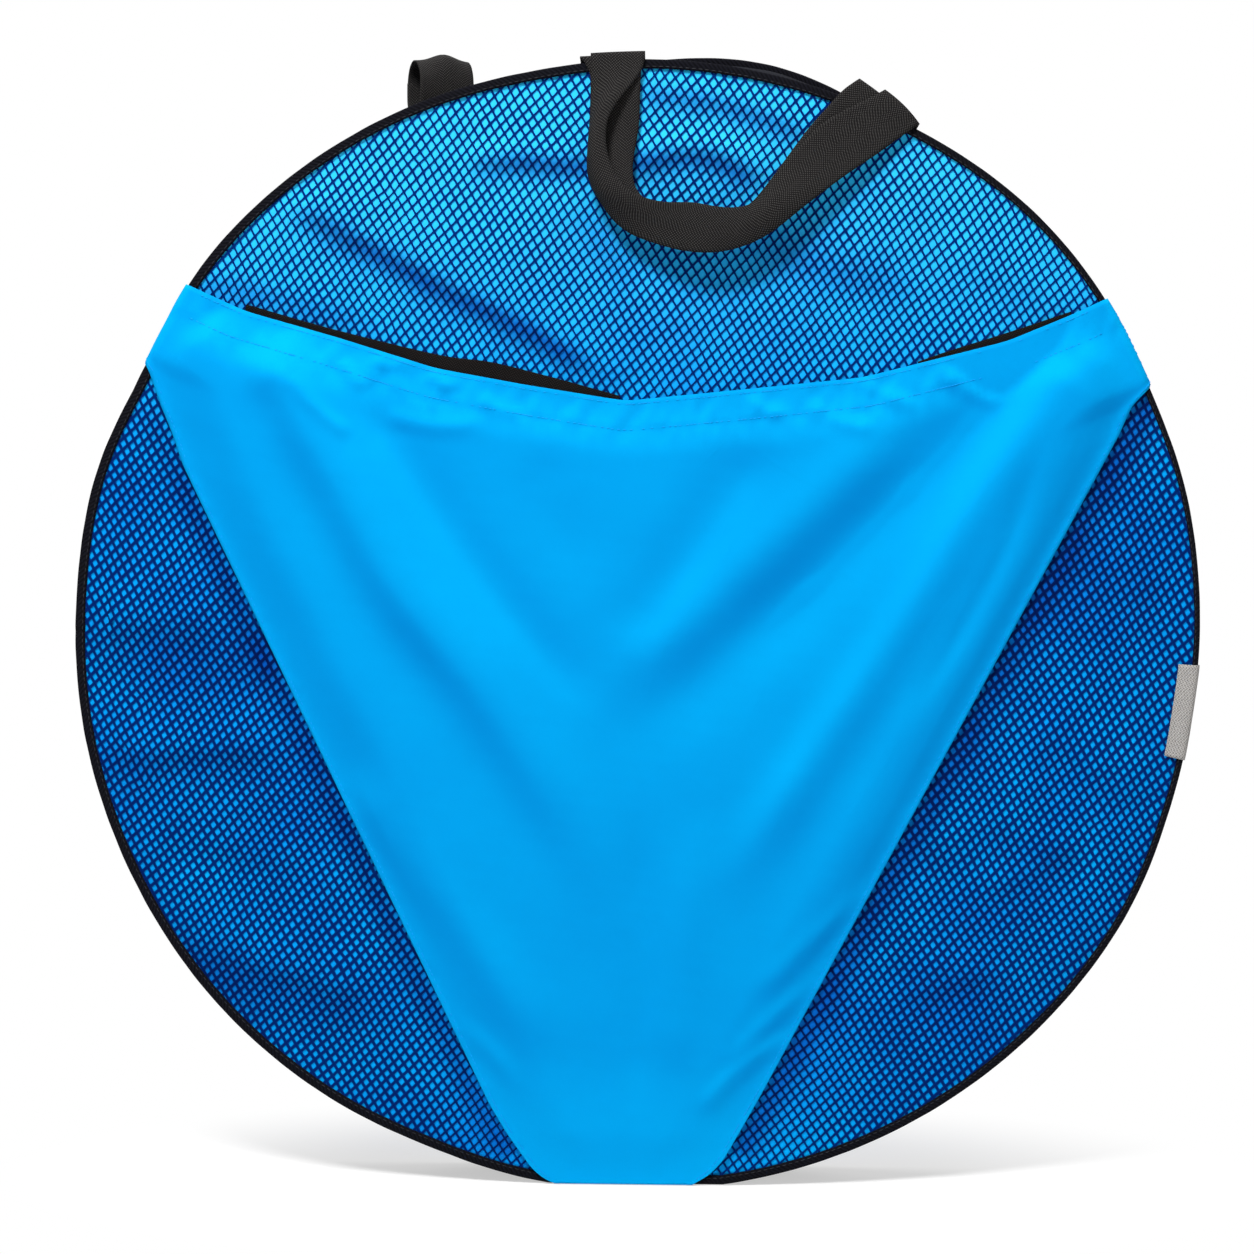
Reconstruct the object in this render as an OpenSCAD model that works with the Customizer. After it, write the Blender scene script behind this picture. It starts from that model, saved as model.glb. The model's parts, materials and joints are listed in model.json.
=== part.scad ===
// Roundnet set in its round carry bag. The bag stands on the flat of its rim, its front face towards -Y.

/* [Bag] */
// Diameter over the rim binding
bag_d = 960; // [880:5:1100]
// Depth between the middles of the two rim bindings
bag_depth = 64; // [60:1:90]
// Width of the flat that the bag stands on
base_flat = 140; // [80:5:200]
// Thickness of the gusset cloth
gusset_t = 1.2; // [0.8:0.1:2]
// Thickness of the mesh, and of the lining behind it
face_t = 1.2; // [0.8:0.1:2]
// Width of the binding, from the rim inwards
binding_w = 8; // [6:0.5:10]
// Thickness of the binding, across the rim
binding_t = 5; // [4:0.5:6]
// How far the gusset lies inside the binding's edge
gusset_recess = 5.6; // [5:0.1:7]

/* [Zip] */
// Distance from the middle of the front binding back to the zip
zip_setback = 15; // [13:0.5:20]
// Angle of the uncut stretch at the bottom
zip_uncut = 24; // [20:1:40]
// Width of each coil
coil_w = 1.4; // [1:0.1:2]
// Height of each coil
coil_h = 2.4; // [2:0.1:3]
// Gap between the two coils, which the slider's web runs in
coil_gap = 1.2; // [1:0.1:2]
// Width of bare tape beside each coil
tape_w = 4; // [3:0.5:6]
// Angle on the rim where the two sliders meet
zip_meet = 91.5; // [85:0.5:95]

/* [Pocket] */
// Rim angles of the mouth's left and right ends
mouth_ends = [142.9, 35.1]; // [30:0.1:150]
// Rim angles of the left and right side corners
side_corners = [151, 25.7]; // [20:0.1:155]
// How far the mouth sags below the line between its ends
mouth_sag = 92; // [40:1:140]
// Sideways place of the bottom's left and right ends
bottom_ends = [-72, 50]; // [-90:1:90]
// Sideways place, and height, where the sides start to curve in
side_foot = [[-122, 72], [106, 78]]; // [-200:1:200]
// How far the pocket stands out from the mesh
pocket_bulge = 9; // [7:0.5:20]
// Thickness of the pocket cloth
pocket_t = 1.4; // [0.8:0.1:2]
// Width of the pocket's side hems
side_hem = 6; // [4:0.5:10]
// Width of the woven closure strip
strip_w = 22; // [16:1:30]

/* [Label] */
// Middle of the label on the rim, as an angle
label_at = -8.8; // [-30:0.1:20]
// Length of the label along the rim
label_l = 80; // [40:1:100]
// Width of the label on the front face
label_w = 20; // [14:1:30]

/* [Handles] */
// Width of the webbing
web_w = 48; // [30:1:60]
// Thickness of the webbing
web_t = 2.5; // [1.5:0.1:3]
// Rim angles of the front handle's ends
front_ends = [91.9, 63.5]; // [50:0.1:130]
// Rim angles of the rear handle's ends
rear_ends = [82.8, 110.7]; // [50:0.1:130]
// How far each handle hangs below its first end
handle_drop = 148; // [120:1:200]
// Inner radius of a handle's bend
bend_r = 22; // [15:1:40]
// How far inside the rim the handles are hinged
hinge_inset = 14; // [12:1:30]
// How far the front handle leans out
front_lean = 10.4; // [3:0.1:15]
// Height of the fold that stands above the rim at the rear handle's outer end
fold_h = 30; // [10:1:40]
// Radius of that fold, at the middle of the webbing
fold_r = 9; // [6:0.5:12]

/* [Roundnet] */
// Outside diameter of the rim
rim_d = 914; // [830:1:920]
// Diameter of the rim tube
tube_d = 25; // [22:1:26]
// Wall of the rim tube
tube_wall = 1.5; // [1:0.1:3]
// Wall of the hubs round the rim tube
hub_wall = 3.5; // [2.5:0.1:4]
// Length of a hub along the rim, as an angle
hub_angle = 9; // [7:0.5:12]
// Length of a leg, from its pivot to the end of its foot
leg_l = 200; // [150:1:210]
// Diameter of a leg
leg_d = 16; // [14:0.5:17]
// Wall of a leg tube
leg_wall = 1.5; // [1:0.1:3]
// Diameter of the leg pivots
pin_d = 6; // [4:0.5:7]
// Radial clearance of the leg pivots
pin_gap = 0.05; // [0.02:0.01:0.1]
// Pitch of the net
net_pitch = 45; // [42:1:60]
// Width of a net cord
cord_w = 4; // [3:0.5:6]
// Distance from the rim tube's inner side to the net's border, which the hooks span
net_gap = 25; // [22:1:50]
// Width of the net's border
border_w = 14; // [10:1:20]
// Hooks between two hubs
hooks_per_tube = 4; // [3:1:6]

/* [Balls and pump] */
// Diameter of a deflated ball, lying flat
ball_d = 104; // [90:1:110]
// Thickness of a deflated ball
ball_t = 28; // [24:1:28]
// Diameter of the pump barrel
pump_d = 26; // [22:1:27]
// Length of the pump barrel
pump_l = 150; // [120:1:180]
// Stroke of the pump
pump_stroke = 90; // [60:1:100]

/* [Hidden] */
HUBS = 5;
$fn = 96;

seam = 0.1;                                   // between sewn pieces that lie against each other
ease = 0.3;                                   // between pieces that rest on or pass each other
wide = 2 * bag_d;                             // longer than anything that it cuts

// The bag's circle is cut off at the floor, so its middle lies a little under one radius up.
bag_r = bag_d / 2;
bag_z = sqrt(bag_r * bag_r - base_flat * base_flat / 4);
face_y = bag_depth / 2;
face_r = bag_r - binding_w - seam;
binding_back = face_y - binding_t / 2;        // face of the binding that looks into the bag
binding_front = face_y + binding_t / 2;
gusset_r = bag_r - gusset_recess;
gusset_in = gusset_r - gusset_t;
lining_y = face_y + face_t / 2 - 2 * face_t - seam;   // inner face of the lining
mesh_front = face_y + face_t / 2;
lift = 0.6;                                   // the moving cover's edge above the floor

zip_y = -(face_y - zip_setback);
zip_r = gusset_r - gusset_t / 2;
coil_near = coil_gap / 2;
coil_far = coil_near + coil_w;
band_end = coil_far + tape_w;
zip_start = -90 + zip_uncut / 2;
zip_sweep = 360 - zip_uncut;

slider_l = 10;
slider_w = 8;
slider_t = 1.2;
slider_spread = 8 / bag_r * 180 / PI;         // half the angle between the two sliders
lug_r = 1.5;
pull_t = 1.2;
pull_l = 22;
pull_w = 7;
pull_pin_r = 0.8;
plate_r = zip_r + coil_h / 2 + ease;          // inner face of the slider's outer plate
slider_in = zip_r - coil_h / 2 - ease - slider_t;
lug_z = plate_r + slider_t + 1.5;

rim_r = rim_d / 2 - tube_d / 2;               // radius to the middle of the rim tube
rim_y = 13;
hub_step = 360 / HUBS;
hub_r = tube_d / 2 + hub_wall;
sleeve_ease = 0.2;
// The roundnet rests in the gusset on the lower ends of its two lowest hubs, or in a much wider bag
// on the rim tube between them.
low_end = 90 + 2 * hub_step + hub_angle / 2;
rest_r = rim_r + hub_r;
rest_s = rest_r * sin(low_end);
seat_r = gusset_in - ease;
rim_z = max(bag_z - rest_s - sqrt(rest_s * rest_s - rest_r * rest_r + seat_r * seat_r),
    bag_z - seat_r + rim_d / 2);
net_d = rim_d - 2 * tube_d - 2 * net_gap;
pivot_y = rim_y - 25;
pivot_r = rim_r - 4.5;
ear_t = 5;
ear_r = 8.5;
eye_r = 7.8;
eye_w = 20;
foot_l = 26;
foot_wall = 2.5;
button_r = 3;
button_at = 3;                                // angle from a hub's middle to its snap buttons
net_t = 2.4;
clip_t = 2.5;
clip_w = 10;

hinge_tab_t = 1.2;
hinge_y = binding_front + ease + hinge_tab_t + ease + web_t / 2;
hinge_r = bag_r - hinge_inset;
rear_skew = web_w / 24;                       // room for the rear handle's slant

ball_r = ball_d / 2;
ball_y = lining_y - 0.9 - ball_t / 2;
// The middle ball lies on the base strip, the other two lean on it and leave room for the sliders.
ball_orbit = seat_r - ball_r;
side_orbit = slider_in - ease - ball_r;
ball_gap = ball_d + ease;
ball_turn = acos((ball_orbit * ball_orbit + side_orbit * side_orbit - ball_gap * ball_gap)
    / (2 * ball_orbit * side_orbit));
pump_r = pump_d / 2;
pump_x = -35;
pump_y = -lining_y + 1.5 + pump_r;
pump_collar = 0.8;
pump_z = bag_z - side_orbit * cos(ball_turn) + ball_r + ease + pump_r + pump_collar;
pump_wall = 1.5;
pump_cap = 8;
rod_r = 3.5;
knob_l = 24;

// ---------- shared shapes ----------

function at_rim(a, r) = [r * cos(a), bag_z + r * sin(a)];

// Centre and radius of the circle through two points that sags below their chord.
function sag_circle(p, q, sag) =
    let (half = norm(q - p) / 2, r = (half * half + sag * sag) / (2 * sag),
         up = [-(q - p)[1], (q - p)[0]] / norm(q - p), mid = (p + q) / 2)
    [mid + up * (r - sag), r];

// A plate in the X-Z plane, from y up to y + t.
module plate_xz(y, t) translate([0, y + t, 0]) rotate([90, 0, 0]) linear_extrude(t) children();

// A round plate of the bag, cut level with the floor.
module disc(r, y, t, floor_z = 0) {
    intersection() {
        translate([0, y, bag_z]) rotate([-90, 0, 0]) cylinder(r = r, h = t, $fn = 240);
        translate([-wide / 2, y - 1, floor_z]) cube([wide, t + 2, wide]);
    }
}

// A profile (radius, -y) carried round the bag's axis; angles run from +X up towards +Z.
module round_bag(start = 0, sweep = 360) {
    translate([0, 0, bag_z]) rotate([90, 0, 0]) rotate([0, 0, start])
        rotate_extrude(angle = sweep, $fn = 240) children();
}

// A profile carried round the roundnet's own axis.
module round_rim(start = 0, sweep = 360) {
    translate([0, rim_y, rim_z]) rotate([90, 0, 0]) rotate([0, 0, start])
        rotate_extrude(angle = sweep, $fn = 240) children();
}

// Children drawn with +Z outwards, turned to an angle of the bag or of the roundnet.
module on_bag(a) translate([0, 0, bag_z]) rotate([0, 90 - a, 0]) children();
module on_rim(a) translate([0, 0, rim_z]) rotate([0, 90 - a, 0]) children();

module band_profile(y0, y1, r, t) translate([r - t, -y1]) square([t, y1 - y0]);

module above_floor(z) intersection() {
    children();
    translate([-wide / 2, -wide / 2, z]) cube(wide);
}

// ---------- bag ----------

module face(side, inner, floor_z) {
    inset = inner ? face_t + seam : 0;
    y = side < 0 ? -mesh_front + inset : mesh_front - inset - face_t;
    disc(face_r, y, face_t, floor_z);
}

// The binding is flat towards the panel and rounded along the rim.
module binding(side, floor_z) {
    edge = binding_t / 2;
    rounding = [for (a = [-90:30:90]) [bag_r - edge + edge * cos(a), edge * sin(a)]];
    above_floor(floor_z) round_bag() translate([0, -side * face_y])
        polygon(concat([[bag_r - binding_w, edge], [bag_r - binding_w, -edge]], rounding));
}

module front_mesh() color("midnightblue") face(-1, false, binding_w);
module front_lining() color("deepskyblue") face(-1, true, binding_w);
module front_binding() color([0.06, 0.07, 0.12]) binding(-1, lift);
module back_mesh() color("midnightblue") face(1, false, binding_w);
module back_lining() color("deepskyblue") face(1, true, binding_w);
module back_binding() color([0.06, 0.07, 0.12]) binding(1, 0);

module front_band() color([0.08, 0.08, 0.11]) round_bag(zip_start + seam, zip_sweep - 2 * seam)
    band_profile(-binding_back + seam, zip_y - band_end - seam, gusset_r, gusset_t);

module gusset() color([0.08, 0.08, 0.11]) round_bag(zip_start + seam, zip_sweep - 2 * seam)
    band_profile(zip_y + band_end + seam, binding_back - seam, gusset_r, gusset_t);

// The uncut stretch is doubled up to the rim's edge. The bag stands on it, and its front edge is the fold.
module base_strip() color([0.07, 0.07, 0.09]) above_floor(0) round_bag(-90 - zip_uncut / 2, zip_uncut)
    band_profile(-binding_back + 0.5, binding_back - seam, bag_r, bag_r - gusset_in);

module zip_half(side) {
    y0 = side < 0 ? zip_y - coil_far : zip_y + coil_near;
    tape_y = side < 0 ? zip_y - band_end : zip_y + coil_far - 0.2;
    round_bag(zip_start + seam, zip_sweep - 2 * seam) {
        band_profile(y0, y0 + coil_w, zip_r + coil_h / 2, coil_h);
        band_profile(tape_y, tape_y + tape_w + 0.2, zip_r + gusset_t / 2, gusset_t);
    }
}

module front_zip_half() color([0.1, 0.1, 0.12]) zip_half(-1);
module back_zip_half() color([0.1, 0.1, 0.12]) zip_half(1);

module zip_end_stops() color([0.16, 0.16, 0.18])
    for (a = [zip_start - 0.7, zip_start + zip_sweep + 0.3])
        round_bag(a, 0.4) band_profile(zip_y - 3, zip_y + 3, gusset_in - seam, 1.4);

// Two plates round the coils, joined by a web in the gap between them, with a lug for the pull.
module slider() {
    difference() {
        union() {
            for (z = [slider_in, plate_r])
                translate([-slider_l / 2, zip_y - slider_w / 2, z]) cube([slider_l, slider_w, slider_t]);
            translate([-slider_l / 2, zip_y - coil_gap / 3, slider_in])
                cube([3, coil_gap * 2 / 3, plate_r + slider_t - slider_in]);
            translate([-lug_r, zip_y - lug_r, plate_r]) cube([2 * lug_r, 2 * lug_r, lug_z - plate_r]);
            translate([0, zip_y + lug_r, lug_z]) rotate([90, 0, 0]) cylinder(r = lug_r, h = 2 * lug_r);
        }
        translate([0, zip_y + slider_w, lug_z]) rotate([90, 0, 0])
            cylinder(r = pull_pin_r + 0.06, h = 2 * slider_w, $fn = 32);
    }
}

// The pull is a flat tab on a cross pin, with a window round the slider's lug.
module pull() {
    window = 2 * lug_r + 2 * ease;
    difference() {
        union() {
            translate([-1, zip_y - pull_w / 2, lug_z - pull_t / 2]) cube([pull_l - 3, pull_w, pull_t]);
            translate([pull_l - 4, zip_y, lug_z - pull_t / 2]) cylinder(r = pull_w / 2, h = pull_t);
        }
        translate([-2, zip_y - window / 2, lug_z - pull_t]) cube([2 + lug_r + ease + 0.8, window, 2 * pull_t]);
        translate([pull_l - 5, zip_y, lug_z - pull_t]) cylinder(r = 1.6, h = 2 * pull_t);
    }
    translate([0, zip_y + pull_w / 2, lug_z]) rotate([90, 0, 0])
        cylinder(r = pull_pin_r, h = pull_w, $fn = 32);
}

module zip_slider_right() color([0.14, 0.14, 0.16]) on_bag(zip_meet - slider_spread) slider();
module zip_slider_left() color([0.14, 0.14, 0.16])
    on_bag(zip_meet + slider_spread) mirror([1, 0, 0]) slider();
module zip_pull_right() color([0.14, 0.14, 0.16]) on_bag(zip_meet - slider_spread) pull();
module zip_pull_left() color([0.14, 0.14, 0.16])
    on_bag(zip_meet + slider_spread) mirror([1, 0, 0]) pull();

// ---------- pocket, closure strip and label ----------

mouth = sag_circle(at_rim(mouth_ends[0], bag_r), at_rim(mouth_ends[1], bag_r), mouth_sag);

function pocket_outline() = [
    at_rim(mouth_ends[0], bag_r), at_rim(side_corners[0], bag_r - 6), side_foot[0],
    [bottom_ends[0], lift], [bottom_ends[1], lift],
    side_foot[1], at_rim(side_corners[1], bag_r - 2), at_rim(mouth_ends[1], bag_r)];

// A sheet with hemmed sides that stands off the mesh, open along its sagging mouth. Its corners lie
// over the binding, into which they are sewn.
module pocket() color([0, 0.65, 1]) {
    foot = -mesh_front - seam;
    difference() {
        plate_xz(foot - pocket_bulge, pocket_bulge) polygon(pocket_outline());
        plate_xz(foot - pocket_bulge + pocket_t, pocket_bulge)
            offset(delta = -side_hem) polygon(pocket_outline());
        translate([mouth[0][0], 0, mouth[0][1]]) rotate([90, 0, 0])
            cylinder(r = mouth[1], h = wide, $fn = 240);
        round_bag() translate([face_r - seam, -foot]) square([bag_r, binding_front + foot + seam]);
    }
}

// The strip follows the mouth a little higher on the left, and runs under the hem in the middle.
module pocket_closure_strip() color([0.07, 0.07, 0.08]) {
    low = mouth[0][1] - mouth[1];
    top = [[-328, low + 82], [-122, low + 34], [-10, low - 1], [140, low - 1], [250, low + 40], [363, low + 73]];
    plate_xz(-mesh_front - seam - face_t, face_t)
        polygon(concat(top, [for (i = [len(top) - 1:-1:0]) top[i] - [0, strip_w]]));
}

// A folded tab of woven cloth over the front binding.
module side_label() color([0.6, 0.6, 0.6]) {
    turn = label_l / bag_r * 180 / PI;
    leaf = 1;
    outer = bag_r + ease + leaf;
    round_bag(label_at - turn / 2, turn) {
        band_profile(-binding_front - ease - leaf, -binding_front - ease, outer, label_w);
        band_profile(-binding_front - ease - leaf, -binding_back + ease + leaf, outer, leaf);
        band_profile(-binding_back + ease, -binding_back + ease + leaf, outer, outer - gusset_r - seam);
    }
}

// ---------- handles ----------

// A handle's two ends on the bag, and the height and sideways run from the first to the second.
function hinge_point(a) = at_rim(a, hinge_r);
function hinge_run(ends) = hinge_point(ends[1]) - hinge_point(ends[0]);

// Everything above the line through the two hinge points.
module above_hinge(run, gap = 0) rotate([0, -atan2(run[1], run[0]), 0])
    translate([-wide / 2, -wide / 2, gap]) cube(wide);

// A flat loop of webbing: one leg hangs straight down, then a bend, then a straight leg up to the far end.
module handle_loop(run) {
    mid = bend_r + web_w / 2;
    outer = bend_r + web_w;
    centre = [mid, outer - handle_drop];
    reach = norm(run - centre);
    rise = atan2(run[1] - centre[1], run[0] - centre[0]) + asin(mid / reach);
    leg = sqrt(reach * reach - mid * mid) + web_w;
    step = (90 + rise) / 16;
    turns = [for (k = [0:16]) 180 + k * step];
    ahead = leg * [cos(rise), sin(rise)];
    aside = [sin(rise), -cos(rise)];
    outside = [for (a = turns) centre + outer * [cos(a), sin(a)]];
    inside = [for (a = turns) centre + bend_r * [cos(a), sin(a)]];
    difference() {
        plate_xz(-web_t / 2, web_t) polygon(concat(
            [[mid - bend_r, web_w], [mid - outer, web_w]], outside,
            [centre + outer * aside + ahead, centre + bend_r * aside + ahead],
            [for (k = [16:-1:0]) inside[k]]));
        above_hinge(run);
    }
}

// A sewn end of a handle, folded over the binding; side is -1 on the front and 1 on the back.
module folded_end(side) {
    front = binding_front + ease;
    back = binding_back - ease;
    top = bag_r + ease;
    mirror([0, side > 0 ? 1 : 0, 0]) {
        translate([-web_w / 2, -front - hinge_tab_t, hinge_r - 8])
            cube([web_w, hinge_tab_t, top + hinge_tab_t - hinge_r + 8]);
        translate([-web_w / 2, -front - hinge_tab_t, top])
            cube([web_w, front - back + 2 * hinge_tab_t, hinge_tab_t]);
        translate([-web_w / 2, -back, gusset_r + ease])
            cube([web_w, hinge_tab_t, top + hinge_tab_t - gusset_r - ease]);
    }
}

module front_handle_ends() color([0.15, 0.15, 0.16])
    for (a = front_ends) on_bag(a) folded_end(-1);

module front_handle() color([0.15, 0.15, 0.16]) {
    start = hinge_point(front_ends[0]);
    run = hinge_run(front_ends);
    translate([start[0], -hinge_y, start[1]]) rotate(a = -front_lean, v = [run[0], 0, run[1]])
        handle_loop(run);
}

// The rear handle's outer end stands up above the rim in a round fold before it hangs down.
fold_y = binding_front + ease + web_t / 2;
fold_out = fold_y + 2 * fold_r;
rear_y = [hinge_y + rear_skew, fold_out + web_t / 2 + ease + web_t / 2 + rear_skew];

module standing_fold() {
    top = bag_r + fold_h - fold_r;
    translate([-web_w / 2, 0, 0]) rotate([90, 0, 90]) linear_extrude(web_w) {
        translate([fold_y - web_t / 2, hinge_r - 8]) square([web_t, top - hinge_r + 8]);
        translate([fold_out - web_t / 2, hinge_r - 8]) square([web_t, top - hinge_r + 8]);
        translate([fold_y + fold_r, top]) intersection() {
            difference() {
                circle(fold_r + web_t / 2);
                circle(fold_r - web_t / 2);
            }
            translate([-wide / 2, 0]) square(wide);
        }
    }
}

module rear_handle_ends() color([0.15, 0.15, 0.16]) {
    on_bag(rear_ends[0]) folded_end(1);
    on_bag(rear_ends[1]) standing_fold();
}

module rear_handle() color([0.15, 0.15, 0.16]) {
    start = hinge_point(rear_ends[0]);
    run = hinge_run(rear_ends);
    slant = rear_y[1] - rear_y[0];
    flat_run = [norm([run[0], slant]), run[1]];
    translate([start[0], rear_y[0], start[1]]) mirror([1, 0, 0])
        rotate([0, 0, atan2(slant, -run[0])]) handle_loop(flat_run);
}

// ---------- roundnet ----------

module rim_tube(i) color([0.12, 0.12, 0.13]) {
    start = 90 + (i - 1) * hub_step;
    difference() {
        round_rim(start + 0.2, hub_step - 0.4) translate([rim_r, 0]) difference() {
            circle(tube_d / 2);
            circle(tube_d / 2 - tube_wall);
        }
        for (a = [start + button_at, start + hub_step - button_at]) button_hole(a);
    }
}

module button_hole(a) on_rim(a) translate([0, rim_y, rim_r]) rotate([90, 0, 0])
    cylinder(r = button_r + 0.1, h = 2 * hub_r, $fn = 48);

// A sleeve over two tube ends, with two ears that carry the leg's pivot on the open side of the rim.
module leg_hub(i) color([0, 0.5, 0.9]) {
    a = 90 + (i - 1) * hub_step;
    difference() {
        union() {
            round_rim(a - hub_angle / 2, hub_angle) translate([rim_r, 0]) circle(hub_r);
            on_rim(a) for (side = [-1, 1]) {
                x = side * (eye_w / 2 + ease + ear_t / 2) - ear_t / 2;
                translate([x, pivot_y, pivot_r]) rotate([0, 90, 0]) cylinder(r = ear_r, h = ear_t);
                translate([x, pivot_y, pivot_r - ear_r]) cube([ear_t, rim_y - pivot_y, 2 * ear_r]);
            }
        }
        round_rim(a - hub_angle, 2 * hub_angle) translate([rim_r, 0]) circle(tube_d / 2 + sleeve_ease);
        on_rim(a) translate([-30, pivot_y, pivot_r]) rotate([0, 90, 0])
            cylinder(r = pin_d / 2 + pin_gap, h = 60, $fn = 48);
        for (side = [-1, 1]) button_hole(a + side * button_at);
    }
}

// A round leg tube with a flat-sided eye, folded in towards the middle of the rim.
module leg(i) color([0.12, 0.12, 0.13]) on_rim(90 + (i - 1) * hub_step)
    translate([0, pivot_y, pivot_r]) difference() {
        union() {
            translate([-eye_w / 2, 0, 0]) rotate([0, 90, 0]) cylinder(r = eye_r, h = eye_w);
            translate([-5, -5, -16]) cube([10, 10, 16]);
            translate([0, 0, -leg_l + foot_wall]) cylinder(r = leg_d / 2, h = leg_l - foot_wall - 12);
        }
        translate([0, 0, -leg_l]) cylinder(r = leg_d / 2 - leg_wall, h = leg_l - 22);
        translate([-30, 0, 0]) rotate([0, 90, 0]) cylinder(r = pin_d / 2 + pin_gap, h = 60, $fn = 48);
    }

// A rubber cap over the leg's end, ringed and a little flared.
module leg_foot(i) color([0.1, 0.1, 0.1]) on_rim(90 + (i - 1) * hub_step)
    translate([0, pivot_y, pivot_r - leg_l]) rotate_extrude() {
        r = leg_d / 2 + foot_wall;
        polygon([[0, 0], [r - 2, 0], [r, 2], [r, 5], [r - 1, 7], [r - 0.6, foot_l],
            [leg_d / 2 + 0.02, foot_l], [leg_d / 2 + 0.02, foot_wall], [0, foot_wall]]);
    }

module leg_pins() color([0.75, 0.75, 0.78]) {
    reach = eye_w / 2 + ease + ear_t;
    for (i = [0:HUBS - 1]) on_rim(90 + i * hub_step) translate([0, pivot_y, pivot_r]) {
        translate([-reach - 1, 0, 0]) rotate([0, 90, 0])
            cylinder(r = pin_d / 2, h = 2 * reach + 2, $fn = 48);
        for (x = [-reach - 2.1, reach + 0.1]) translate([x, 0, 0]) rotate([0, 90, 0])
            cylinder(r = pin_d / 2 + 1.5, h = 2);
    }
}

module snap_buttons() color([0.75, 0.75, 0.78])
    for (i = [0:HUBS - 1], side = [-1, 1])
        on_rim(90 + i * hub_step + side * button_at) translate([0, rim_y, rim_r]) rotate([90, 0, 0]) {
            translate([0, 0, tube_d / 2 - tube_wall - 2]) cylinder(r = button_r, h = hub_wall + 4);
            translate([0, 0, tube_d / 2 + hub_wall - tube_wall + 2]) intersection() {
                sphere(button_r);
                cylinder(r = button_r, h = button_r);
            }
        }

// A flat net of crossing cords, trimmed round where it is sewn to its border.
module playing_net() color([0.9, 0.9, 0.92]) {
    inner = net_d / 2 - border_w;
    cells = ceil(inner / net_pitch);
    gap = net_pitch - cord_w;
    translate([0, 0, rim_z]) plate_xz(rim_y - net_t / 2, net_t) difference() {
        circle(inner - seam, $fn = 240);
        intersection() {
            circle(inner - cord_w, $fn = 240);
            for (i = [-cells:cells - 1], j = [-cells:cells - 1])
                translate([i * net_pitch + cord_w / 2, j * net_pitch + cord_w / 2]) square(gap);
        }
    }
}

module net_border() color([0, 0.5, 0.9]) round_rim()
    translate([net_d / 2 - border_w, -net_t / 2 - 0.4]) square([border_w, net_t + 0.8]);

// Each hook is a strap end with a clip that grips the rim tube from inside the ring.
module net_hooks() color([0.1, 0.1, 0.11]) {
    clip_in = tube_d / 2 + 0.15;
    clip_out = clip_in + clip_t;
    free = hub_step - hub_angle;
    for (i = [0:HUBS - 1], k = [0:hooks_per_tube - 1])
        on_rim(90 + i * hub_step + hub_angle / 2 + (k + 0.5) * free / hooks_per_tube)
            translate([0, rim_y, rim_r]) difference() {
                union() {
                    translate([-clip_w / 2, 0, 0]) rotate([0, 90, 0]) cylinder(r = clip_out, h = clip_w);
                    translate([-clip_w / 2, -clip_t / 2, net_d / 2 + seam - rim_r])
                        cube([clip_w, clip_t, rim_r - net_d / 2 - clip_in]);
                }
                translate([-clip_w, 0, 0]) rotate([0, 90, 0]) cylinder(r = clip_in, h = 2 * clip_w);
                translate([-clip_w, -clip_out - 1, 4]) cube([2 * clip_w, 2 * clip_out + 2, clip_out]);
            }
}

// ---------- balls and pump ----------

// A deflated ball: a round cushion with one side pushed in.
module ball(turn, orbit) color([0.2, 0.65, 0.95]) {
    edge = ball_t / 2;
    dish_r = 90;
    dish = 7;
    on_bag(-90 + turn) translate([0, -ball_y, orbit]) rotate([90, 0, 0]) difference() {
        rotate_extrude() {
            translate([0, -edge]) square([ball_r - edge, ball_t]);
            intersection() {
                translate([ball_r - edge, 0]) circle(edge);
                translate([0, -edge]) square([ball_r, ball_t]);
            }
        }
        translate([0, 0, edge - dish + dish_r]) sphere(dish_r);
    }
}

module ball_left() ball(-ball_turn, side_orbit);
module ball_middle() ball(0, ball_orbit);
module ball_right() ball(ball_turn, side_orbit);

module along_pump(x) translate([pump_x + x, pump_y, pump_z]) rotate([0, 90, 0]) children();

module pump_barrel() color([0.1, 0.1, 0.12]) along_pump(-pump_l / 2) difference() {
    union() {
        cylinder(r = pump_r, h = pump_l);
        for (z = [0, pump_l - pump_cap]) translate([0, 0, z]) cylinder(r = pump_r + pump_collar, h = pump_cap);
    }
    translate([0, 0, pump_cap]) cylinder(r = pump_r - pump_wall, h = pump_l - 2 * pump_cap);
    translate([0, 0, pump_l / 2]) cylinder(r = rod_r + 0.08, h = pump_l, $fn = 48);
    translate([0, 0, -1]) cylinder(r = 2, h = pump_cap + 2);
}

// A stepped nozzle with the thin needle that goes into a ball's valve.
module pump_nozzle() color([0.75, 0.75, 0.78]) along_pump(-pump_l / 2 - seam) mirror([0, 0, 1]) {
    cylinder(r1 = 7, r2 = 4.5, h = 9);
    translate([0, 0, 9]) cylinder(r = 3, h = 4);
    translate([0, 0, 13]) cylinder(r = 0.9, h = 26, $fn = 32);
}

module pump_plunger() color([0, 0.5, 0.9]) along_pump(0) {
    inside = pump_l / 2 - pump_cap - pump_stroke - 6;
    translate([0, 0, inside]) cylinder(r = pump_r - pump_wall - 0.08, h = 5);
    translate([0, 0, inside]) cylinder(r = rod_r, h = pump_l / 2 + 2 - inside, $fn = 48);
    translate([0, 0, pump_l / 2 + 1]) rotate_extrude() polygon([[0, 0], [9, 0], [pump_r, 4],
        [pump_r, 9], [9, 15], [pump_r - 1, knob_l - 3], [pump_r - 3, knob_l], [0, knob_l]]);
}

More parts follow.
